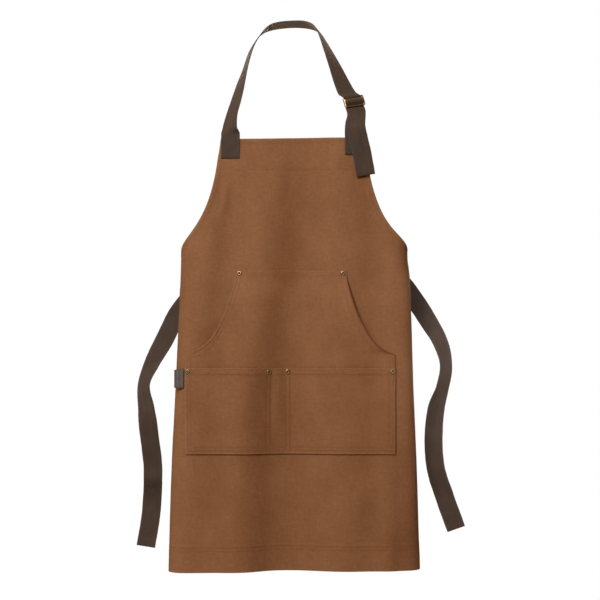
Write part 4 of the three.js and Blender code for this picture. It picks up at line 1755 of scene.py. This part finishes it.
@dataclass
class Finishes:
    """All the apron's materials, made once."""

    def __post_init__(self) -> None:
        """Makes the materials."""
        self.canvas = Canvas().material()
        self.webbing = Web().material()
        self.tape = TapeFinish().material()
        self.brass = Brass().material()
        self.rubbed = Brass("rubbed_brass", srgb(196, 166, 112), srgb(150, 121, 72)).material()
        tan, dark = (srgb(110, 64, 28), srgb(142, 92, 54)), (srgb(46, 35, 28), srgb(78, 64, 54))
        self.tan_thread = ThreadFinish("tan_thread", *tan).material()
        self.dark_thread = ThreadFinish("dark_thread", *dark).material()


def settle(
    piece: Piece, material: bpy.types.Material, replaced: Sequence[str] = ()
) -> Piece:
    """Dresses a piece and puts it on the frame.

    Args:
        piece: The finished piece.
        material: Its material.
        replaced: CAD nodes that it stands for.

    Returns:
        The same piece.
    """
    piece.data.materials.clear()
    piece.data.materials.append(material)
    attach(piece, BODY)
    if replaced:
        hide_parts(*replaced)
    log.info("%s: %d faces", piece.name, len(piece.data.polygons))
    return piece


@dataclass
class ApronCloth:
    """The canvas pieces and their sewing."""

    finishes: Finishes
    drape: Drape
    rear_start: float = 4.0
    rear_end: float = 3.0
    hand_grain: Pair = (37, 12)
    tool_grain: Pair = (91, 53)
    panel_flat: Pair = (0.644, 0.984)
    panel_area: float = 0.547
    hand_flat: Pair = (0.45, 0.394)
    hand_area: float = 0.152
    tool_flat: Pair = (0.452, 0.198)

    def __post_init__(self) -> None:
        """Sets up the three layers."""
        self.panel = Panel(self.drape)
        self.hand = HandPocket(self.drape)
        self.tool = ToolPocket(self.drape, hand=self.hand)

    def panel_runs(self) -> list[tuple[Array, Surface]]:
        """Thread on both faces of the panel, the pockets' seams behind it among them."""
        front, back = self.panel.surface(Face.FRONT), self.panel.surface(Face.BACK)
        runs = [(seam.path, front) for seam in self.panel.seams()]
        runs += [(seam.path, back) for seam in self.panel.seams()]
        reach = self.hand.mouth_halves[0] - self.rear_end
        runs += [(level(reach, row), back) for row in self.hand.top_rows]
        around = self.tool.around(self.hand.corner + self.rear_start)
        return runs + [(path, back) for path in around]

    def build(self) -> None:
        """Makes the panel, the pockets and their thread."""
        canvas, hung = self.finishes.canvas, Held.HUNG.value
        panel = self.panel.mesh("apron_panel")
        hand = self.hand.mesh("hand_pocket_cloth", self.hand_grain)
        tool = self.tool.mesh("tool_pocket_cloth", self.tool_grain)
        for piece, node in ((panel, "panel"), (hand, "hand_pocket"), (tool, "tool_pocket")):
            settle(piece, canvas, [node])
        thread = Thread()
        on_hand, on_tool = self.hand.surface(Face.FRONT), self.tool.surface(Face.FRONT)
        mouth_end = self.hand.corner + self.hand.hem
        in_view = [s.path for s in self.hand.seams() if s.path[:, 1].max() < mouth_end]
        sewn = [
            thread.mesh("panel_stitching", self.panel_runs()),
            thread.mesh("hand_pocket_stitching", [(path, on_hand) for path in in_view]),
            thread.mesh("tool_pocket_stitching", [(s.path, on_tool) for s in self.tool.seams()]),
        ]
        for piece in sewn:
            settle(piece, self.finishes.tan_thread)


@dataclass(frozen=True)
class SliderSizes:
    """The strap slider: place and sizes."""

    place: Point = (122, 36, -171)
    lean: float = 20.0
    roll: float = 9.0
    yaw: float = 20.0
    bar: float = 2.4
    pitch: float = 10.0
    slot: float = 39.4
    corner: float = 3.0
    round: float = 0.75

    def turn(self) -> Matrix:
        """The slider's turn from its own frame to the tables'."""
        turns = ((self.yaw, "Z"), (-self.roll, "Y"), (-self.lean, "X"))
        yaw, roll, lean = (Matrix.Rotation(math.radians(angle), 4, axis) for angle, axis in turns)
        return yaw @ roll @ lean

    def at(self, points: Array) -> Array:
        """Points of the slider's own frame in the tables' frame."""
        return points @ np.array(self.turn().to_3x3()).T + np.array(self.place, float)


class Bench:
    """Operator work on one new piece at a time."""

    @staticmethod
    def clear() -> None:
        """Deselects everything."""
        bpy.ops.object.select_all(action="DESELECT")

    @staticmethod
    def start(piece: Piece, name: str) -> Piece:
        """Names a new primitive and opens it for editing.

        Args:
            piece: The new primitive.
            name: The piece's name.

        Returns:
            The same piece.
        """
        piece.name = name
        piece.data.name = name
        bpy.ops.object.mode_set(mode="EDIT")
        return piece

    @staticmethod
    def pick(piece: Piece, test: Callable[[Vector], bool], mode: str = "VERT") -> None:
        """Selects by place, with edit mode left and entered again.

        Args:
            piece: The piece under work.
            test: Whether a vertex, or the middle of an edge or a face, is picked.
            mode: VERT, EDGE or FACE.
        """
        bpy.ops.mesh.select_mode(type=mode)
        bpy.ops.mesh.select_all(action="DESELECT")
        bpy.ops.object.mode_set(mode="OBJECT")
        mesh = piece.data
        if mode == "VERT":
            for vertex in mesh.vertices:
                vertex.select = test(vertex.co)
        elif mode == "EDGE":
            for edge in mesh.edges:
                edge.select = all(test(mesh.vertices[k].co) for k in edge.vertices)
        else:
            for polygon in mesh.polygons:
                polygon.select = test(polygon.center)
        bpy.ops.object.mode_set(mode="EDIT")

    @staticmethod
    def bevel(piece: Piece, width: float, segments: int) -> None:
        """Rounds the sharp edges with an applied modifier, and smooths the shading.

        Args:
            piece: The piece under work.
            width: How far the rounding reaches, in metres.
            segments: Steps of the rounding.
        """
        bpy.ops.object.mode_set(mode="OBJECT")
        step = piece.modifiers.new("round", "BEVEL")
        step.width = width
        step.segments = segments
        step.limit_method = "ANGLE"
        step.angle_limit = math.radians(40)
        bpy.context.view_layer.objects.active = piece
        bpy.ops.object.modifier_apply(modifier=step.name)
        bpy.ops.object.shade_smooth_by_angle(angle=math.radians(40))


@dataclass
class StrapSlider:
    """The three-bar slider of cast brass."""

    finishes: Finishes
    sizes: SliderSizes = SliderSizes()
    tarnish: float = 0.75

    def build(self) -> Piece:
        """Cuts a block into three bars, opens its two slots and rounds it."""
        s = self.sizes
        wide, high = s.slot + 2 * s.bar, 2 * s.pitch + s.bar
        Bench.clear()
        bpy.ops.mesh.primitive_cube_add(size=1.0)
        piece = Bench.start(bpy.context.active_object, "slider")
        bpy.ops.mesh.select_all(action="SELECT")
        bpy.ops.transform.resize(value=(wide * MM, s.bar * MM, high * MM))
        corners = (wide / 2 - 0.01) * MM, (high / 2 - 0.01) * MM
        Bench.pick(piece, lambda p: abs(p.x) > corners[0] and abs(p.z) > corners[1], "EDGE")
        bpy.ops.mesh.bevel(offset=s.corner * MM, segments=5, affect="EDGES")
        cuts = [("X", x) for x in (-s.slot / 2, s.slot / 2)]
        inner = s.pitch - s.bar / 2
        cuts += [("Z", z) for z in (-inner, -s.bar / 2, s.bar / 2, inner)]
        for axis, place in cuts:
            bpy.ops.mesh.select_all(action="SELECT")
            normal = (1, 0, 0) if axis == "X" else (0, 0, 1)
            bpy.ops.mesh.bisect(plane_co=tuple(place * MM * n for n in normal), plane_no=normal)
        for sign in (-1, 1):
            middle = sign * s.pitch / 2 * MM

            def in_slot(p: Vector) -> bool:
                """Whether a face lies over this slot."""
                half_high = (inner - s.bar / 2) / 2 * MM
                return abs(p.x) < s.slot / 2 * MM and abs(p.z - middle) < half_high

            Bench.pick(piece, in_slot, "FACE")
            bpy.ops.mesh.bridge_edge_loops()
        Bench.bevel(piece, s.round * MM, 3)
        return self.seat(piece)

    def seat(self, piece: Piece) -> Piece:
        """Puts the finished slider in its place and dresses it.

        Args:
            piece: The slider in its own frame.

        Returns:
            The same piece.
        """
        s = self.sizes
        rub = [1 - abs(v.co.y) / (s.bar / 2 * MM) for v in piece.data.vertices]
        mark_points(piece, "hollow", [self.tarnish * max(r, 0) for r in rub])
        move = Matrix.Translation(Vector((np.array(s.place) - NAPE) * MM)) @ s.turn()
        piece.data.transform(move)
        piece.data.update()
        return settle(piece, self.finishes.rubbed, ["strap_slider"])


@dataclass
class Straps:
    """The neck strap, its anchor and the waist ties."""

    finishes: Finishes
    cloth: ApronCloth
    sewn_gap: float = 1.2
    thick: float = 1.5
    wide: float = 38.0
    layer: float = 2.2
    bar_gap: float = 0.5
    tie_hem: float = 28.0
    slider: SliderSizes = SliderSizes()
    neck_sewn: Row = (40, 20, 0, -9)
    neck_u: float = -125.0
    anchor_sewn: Row = (34, 17, 0, -20)
    anchor_u: float = 124.0
    tail: tuple[Point, ...] = (
        (127, -24, 5.8), (131.5, 0, 6.2), (138.5, 28, 5.2), (146.8, 75, 4.5)
    )
    tie_sewn: Row = (272, 288, 304)
    tie_down: float = 277.0
    inset: float = 3.2
    row_inset: float = 2.0
    end_rows: Pair = (3.0, 7.0)
    neck_route: tuple[Stop, ...] = (
        Stop(-128, 16, -227, -38, 6),
        Stop(-124.5, 20, -201, -51, 12),
        Stop(-117.5, 28, -176, -54, 18),
        Stop(-111, 38, -151, -59, 22),
        Stop(-105, 50, -126, -68, 26),
        Stop(-98, 63, -100, -79, 30),
        Stop(-91, 79, -74, -87, 36),
        Stop(-85, 93, -56, -92, 42),
        Stop(-76, 109, -38, -99, 50),
        Stop(-65, 124, -21, -108, 58),
        Stop(-48, 138, -8, -130, 68),
        Stop(-6, 150, 0, -180, 75),
        Stop(30, 142, -3, -232, 68),
        Stop(48, 130, -13, -254, 58),
        Stop(57.5, 117, -29, -271, 48),
        Stop(72.5, 91, -65, -298, 36),
        Stop(86, 69, -100, -316, 30),
        Stop(98.5, 54, -133, -332, 26),
    )
    left_route: tuple[Stop, ...] = (
        Stop(-239, 116, -600, -4, 6),
        Stop(-264, 100, -652, -6, 10),
        Stop(-291, 82, -705, -30, 16),
        Stop(-305, 72, -745, -46, 10),
        Stop(-300, 66, -790, -26, 0),
        Stop(-294, 64, -840, 4, -4),
        Stop(-286, 65, -908, 6, 2),
        Stop(-285.5, 60, -936, 5, -6),
        Stop(-286.5, 68, -957, 3, -20),
        Stop(-288, 72, -980, 2, -8),
        Stop(-291, 70, -1015, 0, -4),
        Stop(-300, 62, -1071, -4, -8),
    )
    right_route: tuple[Stop, ...] = (
        Stop(241, 118, -560, 4, 6),
        Stop(272.5, 102, -609, 10, 10),
        Stop(301, 84, -662, 30, 14),
        Stop(310.5, 74, -708, 46, 8),
        Stop(302.5, 65, -750, 44, 0),
        Stop(290, 71, -794, 20, -8),
        Stop(284.5, 65, -860, 10, 4),
        Stop(289, 62, -915, 12, 0),
        Stop(306.5, 71, -970, 4, -10),
        Stop(330, 64, -1036, 0, -4),
    )
    tie_round: tuple[tuple[float, float, float, float, float], ...] = (
        (9, -3.5, -0.3, 2, 0),
        (15, 6, 0.9, 9, 3),
        (9, 20, 2, 32, 12),
    )

    def __post_init__(self) -> None:
        """Works out how the webbing wraps the slider's bars."""
        self.wrap = self.slider.bar / 2 + self.bar_gap + self.thick / 2
        self.outer = self.wrap + self.layer
        self.crossing = math.degrees(math.asin((self.wrap + self.outer) / self.slider.pitch))

    def on_cloth(self, u: float, v: float, off: float) -> Station:
        """A station on the cloth's face.

        Args:
            u: Place across the cloth.
            v: Place down the cloth.
            off: How far the strap's middle stands off.

        Returns:
            The station.
        """
        drape = self.cloth.drape
        face, _ = drape.face(np.array(u), np.array(v))
        return Station(drape.place(np.array(u), np.array(v)) + face * off, face)

    def bend(self, bar: float, radius: float, start: float, end: float, count: int) -> Array:
        """Points of a strap bent round one bar; 0 degrees is behind the bar."""
        angle = np.radians(np.linspace(start, end, count))
        return np.stack([0 * angle, radius * np.cos(angle), bar + radius * np.sin(angle)], axis=-1)

    def in_slider(self, points: Sequence[Array], way: int) -> list[Station]:
        """Stations in the slider's frame, where a strap's side lies along the bars."""
        side = np.array(self.slider.turn().to_3x3()) @ np.array([way, 0.0, 0.0])
        return [Station(p, None, side) for p in self.slider.at(np.vstack(points))]

    def neck(self) -> Ribbon:
        """The neck strap: sewn end, way round the neck, slider and free tail."""
        off = self.sewn_gap + self.thick / 2
        pitch = self.slider.pitch
        threaded = self.in_slider([
            np.array([[-6.5, self.wrap + 3, pitch + 10], [-2.5, self.wrap + 1, pitch + 5]]),
            self.bend(pitch, self.wrap, 10, -self.crossing, 3),
            self.bend(0, self.outer, 180 - self.crossing, 180 + self.crossing, 5),
            self.bend(-pitch, self.wrap, self.crossing, 0, 3),
            np.array([[0, self.wrap - 2, -pitch - 12]]),
        ], 1)
        return Ribbon([
            *(self.on_cloth(self.neck_u, v, off) for v in self.neck_sewn),
            *(stop.station() for stop in self.neck_route),
            *threaded,
            *(self.on_cloth(*row) for row in self.tail),
        ], seed=31)

    def anchor(self) -> Ribbon:
        """The short strap that holds the slider."""
        off = self.sewn_gap + self.thick / 2
        pitch = self.slider.pitch
        behind = self.outer + self.layer
        looped = self.in_slider([
            np.array([[0, behind + 0.9, -pitch - 12], [0, behind + 0.3, -pitch]]),
            self.bend(0, self.wrap, -15, 180 + self.crossing, 9),
            self.bend(-pitch, self.outer, self.crossing, 0, 3),
            np.array([[0, self.outer, -pitch - 8], [0, self.outer, -pitch - 18]]),
        ], -1)
        sewn = [self.on_cloth(self.anchor_u, v, off) for v in self.anchor_sewn]
        return Ribbon([*sewn, *looped], seed=32)

    def tie(self, side: Side, route: Sequence[Stop]) -> Ribbon:
        """One waist tie, sewn inside the side and turned round its rear edge.

        Args:
            side: The apron's side.
            route: The tie's free way.

        Returns:
            The tie, with its end hemmed.
        """
        off = -(2 * self.cloth.panel.cloth + self.sewn_gap + self.thick / 2)
        sewn = []
        for u in self.tie_sewn:
            station = self.on_cloth(side.value * u, self.tie_down, off)
            sewn.append(Station(station.place, -station.face))
        u, v = np.array(side.value * self.cloth.panel.cut_half), np.array(self.tie_down)
        face, across = self.cloth.drape.face(u, v)
        rim, back = self.cloth.drape.place(u, v), across * side.value
        turned = []
        for reach, out, aim, left_drop, right_drop in self.tie_round:
            drop = np.array([0, 0, left_drop if side is Side.LEFT else right_drop])
            turned.append(Station(rim + back * reach + face * out - drop, unit(-face - back * aim)))
        ribbon = Ribbon([*sewn, *turned, *(stop.station() for stop in route)], seed=34 + side.value)
        ribbon.turn_end(self.tie_hem)
        return ribbon

    def patch(self, end: float) -> list[Array]:
        """Paths of a box stitch with its cross at a strap's start.

        Args:
            end: How far the sewn part reaches along the strap.

        Returns:
            The box and the two lines of its cross.
        """
        half = self.wide / 2 - self.inset
        low, high = self.inset, end - self.inset
        corners = [(-half, low), (half, low), (half, high), (-half, high), (-half, low)]
        return [line(*corners), line((-half, low), (half, high)), line((half, low), (-half, high))]

    def build(self) -> None:
        """Makes the four straps and their sewing."""
        rows = (
            ("neck_webbing", "neck_strap", self.neck(), 37),
            ("anchor_webbing", "anchor_strap", self.anchor(), 35),
            ("left_tie_webbing", "left_tie", self.tie(Side.LEFT, self.left_route), 33),
            ("right_tie_webbing", "right_tie", self.tie(Side.RIGHT, self.right_route), 33),
        )
        thread = Thread(pitch=2.9, radius=0.27, seed=7)
        for name, node, ribbon, sewn_to in rows:
            strap = settle(ribbon.mesh(name), self.finishes.webbing, [node])
            paths = self.patch(sewn_to)
            if node.endswith("tie"):
                reach, start = self.wide / 2 - self.row_inset, ribbon.length - self.tie_hem
                paths += [level(reach, start + row) for row in self.end_rows]
            front = ribbon.surface(Face.FRONT)
            sewing = thread.mesh(
                name.replace("webbing", "stitching"), [(path, front) for path in paths]
            )
            settle(sewing, self.finishes.dark_thread)
            flat = (self.wide * MM, round(float(ribbon.marks[-1]) * MM, 3))


@dataclass
class SideTab:
    """The blank folded tape tab at the pocket's left seam."""

    finishes: Finishes
    cloth: ApronCloth
    wide: float = 20.0
    high: float = 39.0
    top: float = 460.6
    over: float = 0.9
    tape: float = 0.34
    fold: float = 0.42
    from_seam: float = 2.6
    aimed_from: float = 8.0
    bulge: float = 0.5
    slope: float = 3.0
    bend_room: float = 0.5
    flat_steps: int = 18
    bend_steps: int = 7
    rows: int = 16
    rows_from: float = 2.0
    edge_lines: Row = (0, 0.25, 0.8)
    end_round: float = 0.3
    least_tip: float = 0.1
    wear_width: float = 1.6

    def build(self) -> Piece:
        """Folds the tape out from the seam and back under itself."""
        drape, half = self.cloth.drape, self.cloth.hand.half_width
        middle = np.array(self.top + self.high / 2)
        face, _ = drape.face(np.array(-half), middle)
        _, across = drape.face(np.array(self.aimed_from - half), middle)
        seam = drape.place(np.array(-half), middle)
        end = self.wide - self.bend_room
        out = np.linspace(0, end, self.flat_steps)
        turn = np.linspace(np.pi / 2, -np.pi / 2, self.bend_steps)
        reach = np.concatenate([out, end + self.fold / 2 * np.cos(turn), out[::-1]])
        level_part = np.ones(self.flat_steps)
        rise = np.concatenate([level_part, np.sin(turn), -level_part]) * self.fold / 2
        arch = np.sin(np.pi * np.clip(reach / self.wide, 0, 1))
        soft = self.bulge * arch * np.clip(rise, 0, 1) * 2
        lift = self.over + self.tape + self.fold / 2 + rise + soft
        edges = np.array(self.edge_lines)
        inner = np.linspace(self.rows_from, self.high - self.rows_from, self.rows)
        down = np.concatenate([edges, inner, self.high - edges[::-1]])
        ends = np.minimum(down, self.high - down)
        spots = seam - np.outer(self.from_seam + reach, across) + np.outer(lift, face)
        grid = np.repeat(spots[None], len(down), axis=0)
        drop = self.slope * np.outer(1 - down / self.high, reach / self.wide)
        grid[..., 2] = drape.bib_top - self.top - down[:, None] - drop
        path = np.concatenate([[0], np.cumsum(np.hypot(np.diff(reach), np.diff(rise)))])
        along = np.gradient(spots, axis=0)
        way = unit(np.cross(np.tile([0, 0, -1.0], (len(spots), 1)), -along))
        thick = round_end(ends, self.end_round, self.least_tip)
        step = way[None] * (self.tape / 2 * thick)[:, None, None]
        uv = np.stack(np.meshgrid(path, -down), axis=-1)
        edge = np.minimum(ends[:, None], np.abs(reach - self.wide)[None])
        # Marks the tab's edges and folded end, which the tape finish makes darker.
        wear = bell(edge, self.wear_width)
        piece = shell("blank_tab", grid + step, grid - step, uv, wear=wear)
        settle(piece, self.finishes.tape, ["side_tab"])
        return piece


@dataclass(frozen=True)
class RivetPlace:
    """One rivet: the CAD node that it stands for, its place, and the layers that it holds."""

    node: str
    u: float
    v: float
    top: Cloth
    bottom: Cloth


@dataclass
class Rivets:
    """The six hollow rivets at the pockets' corners."""

    finishes: Finishes
    cloth: ApronCloth
    sides: int = 36
    post: float = 1.6
    clearance: float = 0.3
    sunk: float = 0.1
    hollow_half: Pair = (2.4, 0.7)
    hollow_top: Pair = (1.5, 0.5)
    back_tone: float = 0.25
    from_mouth: float = 7.0
    sharp: float = math.radians(50)
    cap: tuple[Pair, ...] = (
        (4.5, 0.0), (4.55, 0.45), (4.4, 0.85), (3.9, 1.22), (3.2, 1.45), (2.6, 1.5),
        (2.2, 1.36), (1.9, 1.0), (1.6, 0.62), (1.15, 0.52), (0.75, 0.72), (0.3, 0.82),
    )
    foot: tuple[Pair, ...] = (
        (1.6, -0.6), (3.9, -0.6), (4.0, -0.95), (3.6, -1.35), (1.2, -1.4), (0.3, -1.4)
    )

    def master(self) -> Piece:
        """Models one rivet by extruding and resizing a ring, with its cap's seat at height 0."""
        Bench.clear()
        profile = [*self.foot[::-1], (self.post, 0.0), *self.cap]
        radius, height = (size * MM for size in profile[0])
        bpy.ops.mesh.primitive_circle_add(
            vertices=self.sides, radius=radius, fill_type="NGON", location=(0, 0, height)
        )
        piece = Bench.start(bpy.context.active_object, "rivet_master")
        bpy.ops.mesh.select_all(action="SELECT")
        for (radius, height), (wider, higher) in zip(profile, profile[1:]):
            bpy.ops.mesh.extrude_region_move(
                TRANSFORM_OT_translate={"value": (0, 0, (higher - height) * MM)}
            )
            grow = wider / radius
            bpy.ops.transform.resize(value=(grow, grow, 1))
        bpy.ops.mesh.select_all(action="SELECT")
        bpy.ops.mesh.normals_make_consistent(inside=False)
        bpy.ops.object.mode_set(mode="OBJECT")
        bpy.ops.object.transform_apply(location=True, rotation=True, scale=True)
        bpy.ops.object.shade_smooth_by_angle(angle=self.sharp)
        return piece

    def places(self) -> list[RivetPlace]:
        """Where the rivets go."""
        panel, hand, tool = self.cloth.panel, self.cloth.hand, self.cloth.tool
        high = hand.top_edge + hand.hem / 2
        low = tool.top_edge + tool.hem / 2
        near, far = hand.mouth_halves[0] - self.from_mouth, hand.half_width - tool.cell
        return [
            RivetPlace("rivet_hand_left", -near, high, hand, panel),
            RivetPlace("rivet_hand_right", near, high, hand, panel),
            RivetPlace("rivet_tool_left", -far, low, tool, panel),
            RivetPlace("rivet_divider_left", tool.dividers[0], low, tool, hand),
            RivetPlace("rivet_divider_right", tool.dividers[1], low, tool, hand),
            RivetPlace("rivet_tool_right", far, low, tool, panel),
        ]

    def build(self) -> None:
        """Copies the rivet to its six places and sets each one's length."""
        master = self.master()
        for place in self.places():
            self.seat(master, place)
        bpy.data.objects.remove(master, do_unlink=True)

    def seat(self, master: Piece, place: RivetPlace) -> None:
        """Seats one copy in its layers.

        Args:
            master: The modelled rivet.
            place: Where the copy goes.
        """
        piece = master.copy()
        piece.data = master.data.copy()
        piece.name = piece.data.name = place.node + "_brass"
        bpy.context.scene.collection.objects.link(piece)
        u, v = np.array(place.u), np.array(place.v)
        drape = self.cloth.drape
        front = float(place.top.faces(u, v)[0])
        stack = front - float(place.bottom.faces(u, v)[1]) + self.clearance
        points = np.empty(len(piece.data.vertices) * 3)
        piece.data.vertices.foreach_get("co", points)
        points = points.reshape(-1, 3) / MM
        radius = np.hypot(points[:, 0], points[:, 1])
        height = points[:, 2].copy()
        (wide, fade), (top, depth) = self.hollow_half, self.hollow_top
        hollow = np.clip((wide - radius) / fade, 0, 1) * (height > 0)
        hollow = hollow * np.clip((top - height) / depth, 0, 1)
        behind = height < -self.sunk
        mark_points(piece, "hollow", np.maximum(hollow, behind * self.back_tone))
        points[:, 2] -= np.where(behind, stack, 0)
        face, across = drape.face(u, v)
        up = np.cross(face, across)
        seat = drape.off(u, v, np.array(front + self.clearance - self.sunk))
        placed = seat + points @ np.stack([across, up, face])
        piece.data.vertices.foreach_set("co", to_row(placed).ravel())
        piece.data.update()
        settle(piece, self.finishes.brass, [place.node])


@dataclass(frozen=True)
class Lamp:
    """A soft square lamp: place and aim in metres, power in watts, beam in degrees."""

    name: str
    place: Point
    size: float
    power: float
    aim: Point = (0.0, -0.12, -0.6)
    spread: float = 180.0
    tint: Colour = (1.0, 1.0, 1.0)

    def build(self) -> None:
        """Sets up the lamp."""
        data = bpy.data.lights.new(self.name, "AREA")
        data.size = self.size
        data.energy = self.power
        data.spread = math.radians(self.spread)
        data.color = self.tint
        lamp = bpy.data.objects.new(self.name, data)
        lamp.location = self.place
        way = Vector(self.aim) - Vector(self.place)
        lamp.rotation_euler = way.to_track_quat("-Z", "Y").to_euler()
        bpy.context.scene.collection.objects.link(lamp)


@dataclass
class Studio:
    """Floor, lights and camera."""

    floor_level: float = -1.55
    floor_radius: float = 1.62
    floor_thick: float = 0.03
    floor_round: float = 0.01
    floor_sides: int = 96
    eye: Point = (0.019, -4.150, -0.572)
    lens: float = 120.0
    sensor: float = 36.0
    far: float = 60.0
    ambient: float = 0.09
    ambient_tint: Colour = (1.0, 0.6, 0.32)
    backdrop: float = 1.0
    lamps: tuple[Lamp, ...] = (
        Lamp("front", (-1.45, -3.2, 1.9), 1.7, 216.0, aim=(3.0, -0.12, -0.6)),
        Lamp("fill", (3.6, -1.7, 0.7), 1.6, 18.5, tint=(1.0, 0.66, 0.38)),
        Lamp("side", (-4.4, -1.1, 1.3), 1.3, 55.0),
        Lamp("collar", (0.0, -2.6, -1.2), 0.12, 0.14, aim=(0.02, 0.0, 0.06), spread=6.0),
        Lamp(
            "edge", (2.3, -2.2, 0.1), 0.25, 0.52,
            aim=(0.50, -0.1, -0.64), spread=12.0, tint=(0.86, 1.0, 1.14),
        ),
        Lamp("rear_left", (-1.1, 3.3, 1.0), 1.8, 70.0),
        Lamp("rear_right", (1.2, 3.2, 0.6), 1.8, 60.0),
    )

    def build(self) -> None:
        """Sets up the studio."""
        self.floor()
        self.camera()
        self.world()
        for lamp in self.lamps:
            lamp.build()

    def floor(self) -> None:
        """A round pale floor with a softened rim, below the hanging apron."""
        Bench.clear()
        bpy.ops.mesh.primitive_circle_add(
            vertices=self.floor_sides, radius=self.floor_radius, fill_type="NGON",
            location=(0, 0, self.floor_level),
        )
        piece = Bench.start(bpy.context.active_object, "studio_floor")
        bpy.ops.mesh.select_all(action="SELECT")
        down = {"value": (0, 0, -self.floor_thick)}
        bpy.ops.mesh.extrude_region_move(TRANSFORM_OT_translate=down)
        bpy.ops.mesh.select_all(action="SELECT")
        bpy.ops.mesh.normals_make_consistent(inside=False)
        Bench.bevel(piece, self.floor_round, 3)
        Bench.clear()
        piece.select_set(True)
        bpy.ops.object.transform_apply(location=True, rotation=True, scale=True)
        piece.data.materials.append(Plaster().material())

    def camera(self) -> None:
        """A long lens straight ahead, as in the photograph."""
        data = bpy.data.cameras.new("camera")
        data.lens = self.lens
        data.sensor_width = self.sensor
        data.clip_end = self.far
        camera = bpy.data.objects.new("camera", data)
        camera.location = self.eye
        camera.rotation_euler = (math.pi / 2, 0, 0)
        bpy.context.scene.collection.objects.link(camera)
        bpy.context.scene.camera = camera

    def world(self) -> None:
        """An even pale surround, brighter as a backdrop than as a light."""
        scene = bpy.context.scene
        scene.view_settings.view_transform = "Standard"
        scene.world = bpy.data.worlds.new("surround")
        scene.world.use_nodes = True
        tree = scene.world.node_tree
        tree.nodes.clear()
        path = tree.nodes.new("ShaderNodeLightPath")
        mix = tree.nodes.new("ShaderNodeMixShader")
        end = tree.nodes.new("ShaderNodeOutputWorld")
        glows = ((self.ambient, self.ambient_tint), (self.backdrop, (1, 1, 1)))
        for k, (strength, tint) in enumerate(glows):
            glow = tree.nodes.new("ShaderNodeBackground")
            glow.inputs["Strength"].default_value = strength
            glow.inputs["Color"].default_value = (*tint, 1)
            tree.links.new(glow.outputs[0], mix.inputs[1 + k])
        tree.links.new(path.outputs["Is Camera Ray"], mix.inputs[0])
        tree.links.new(mix.outputs[0], end.inputs[0])


def main() -> None:
    logging.basicConfig(level=logging.INFO, format="%(name)s: %(message)s")
    Studio().build()
    finishes = Finishes()
    cloth = ApronCloth(finishes, Drape())
    cloth.build()
    Straps(finishes, cloth).build()
    StrapSlider(finishes).build()
    SideTab(finishes, cloth).build()
    Rivets(finishes, cloth).build()


if __name__ == "__main__":
    main()
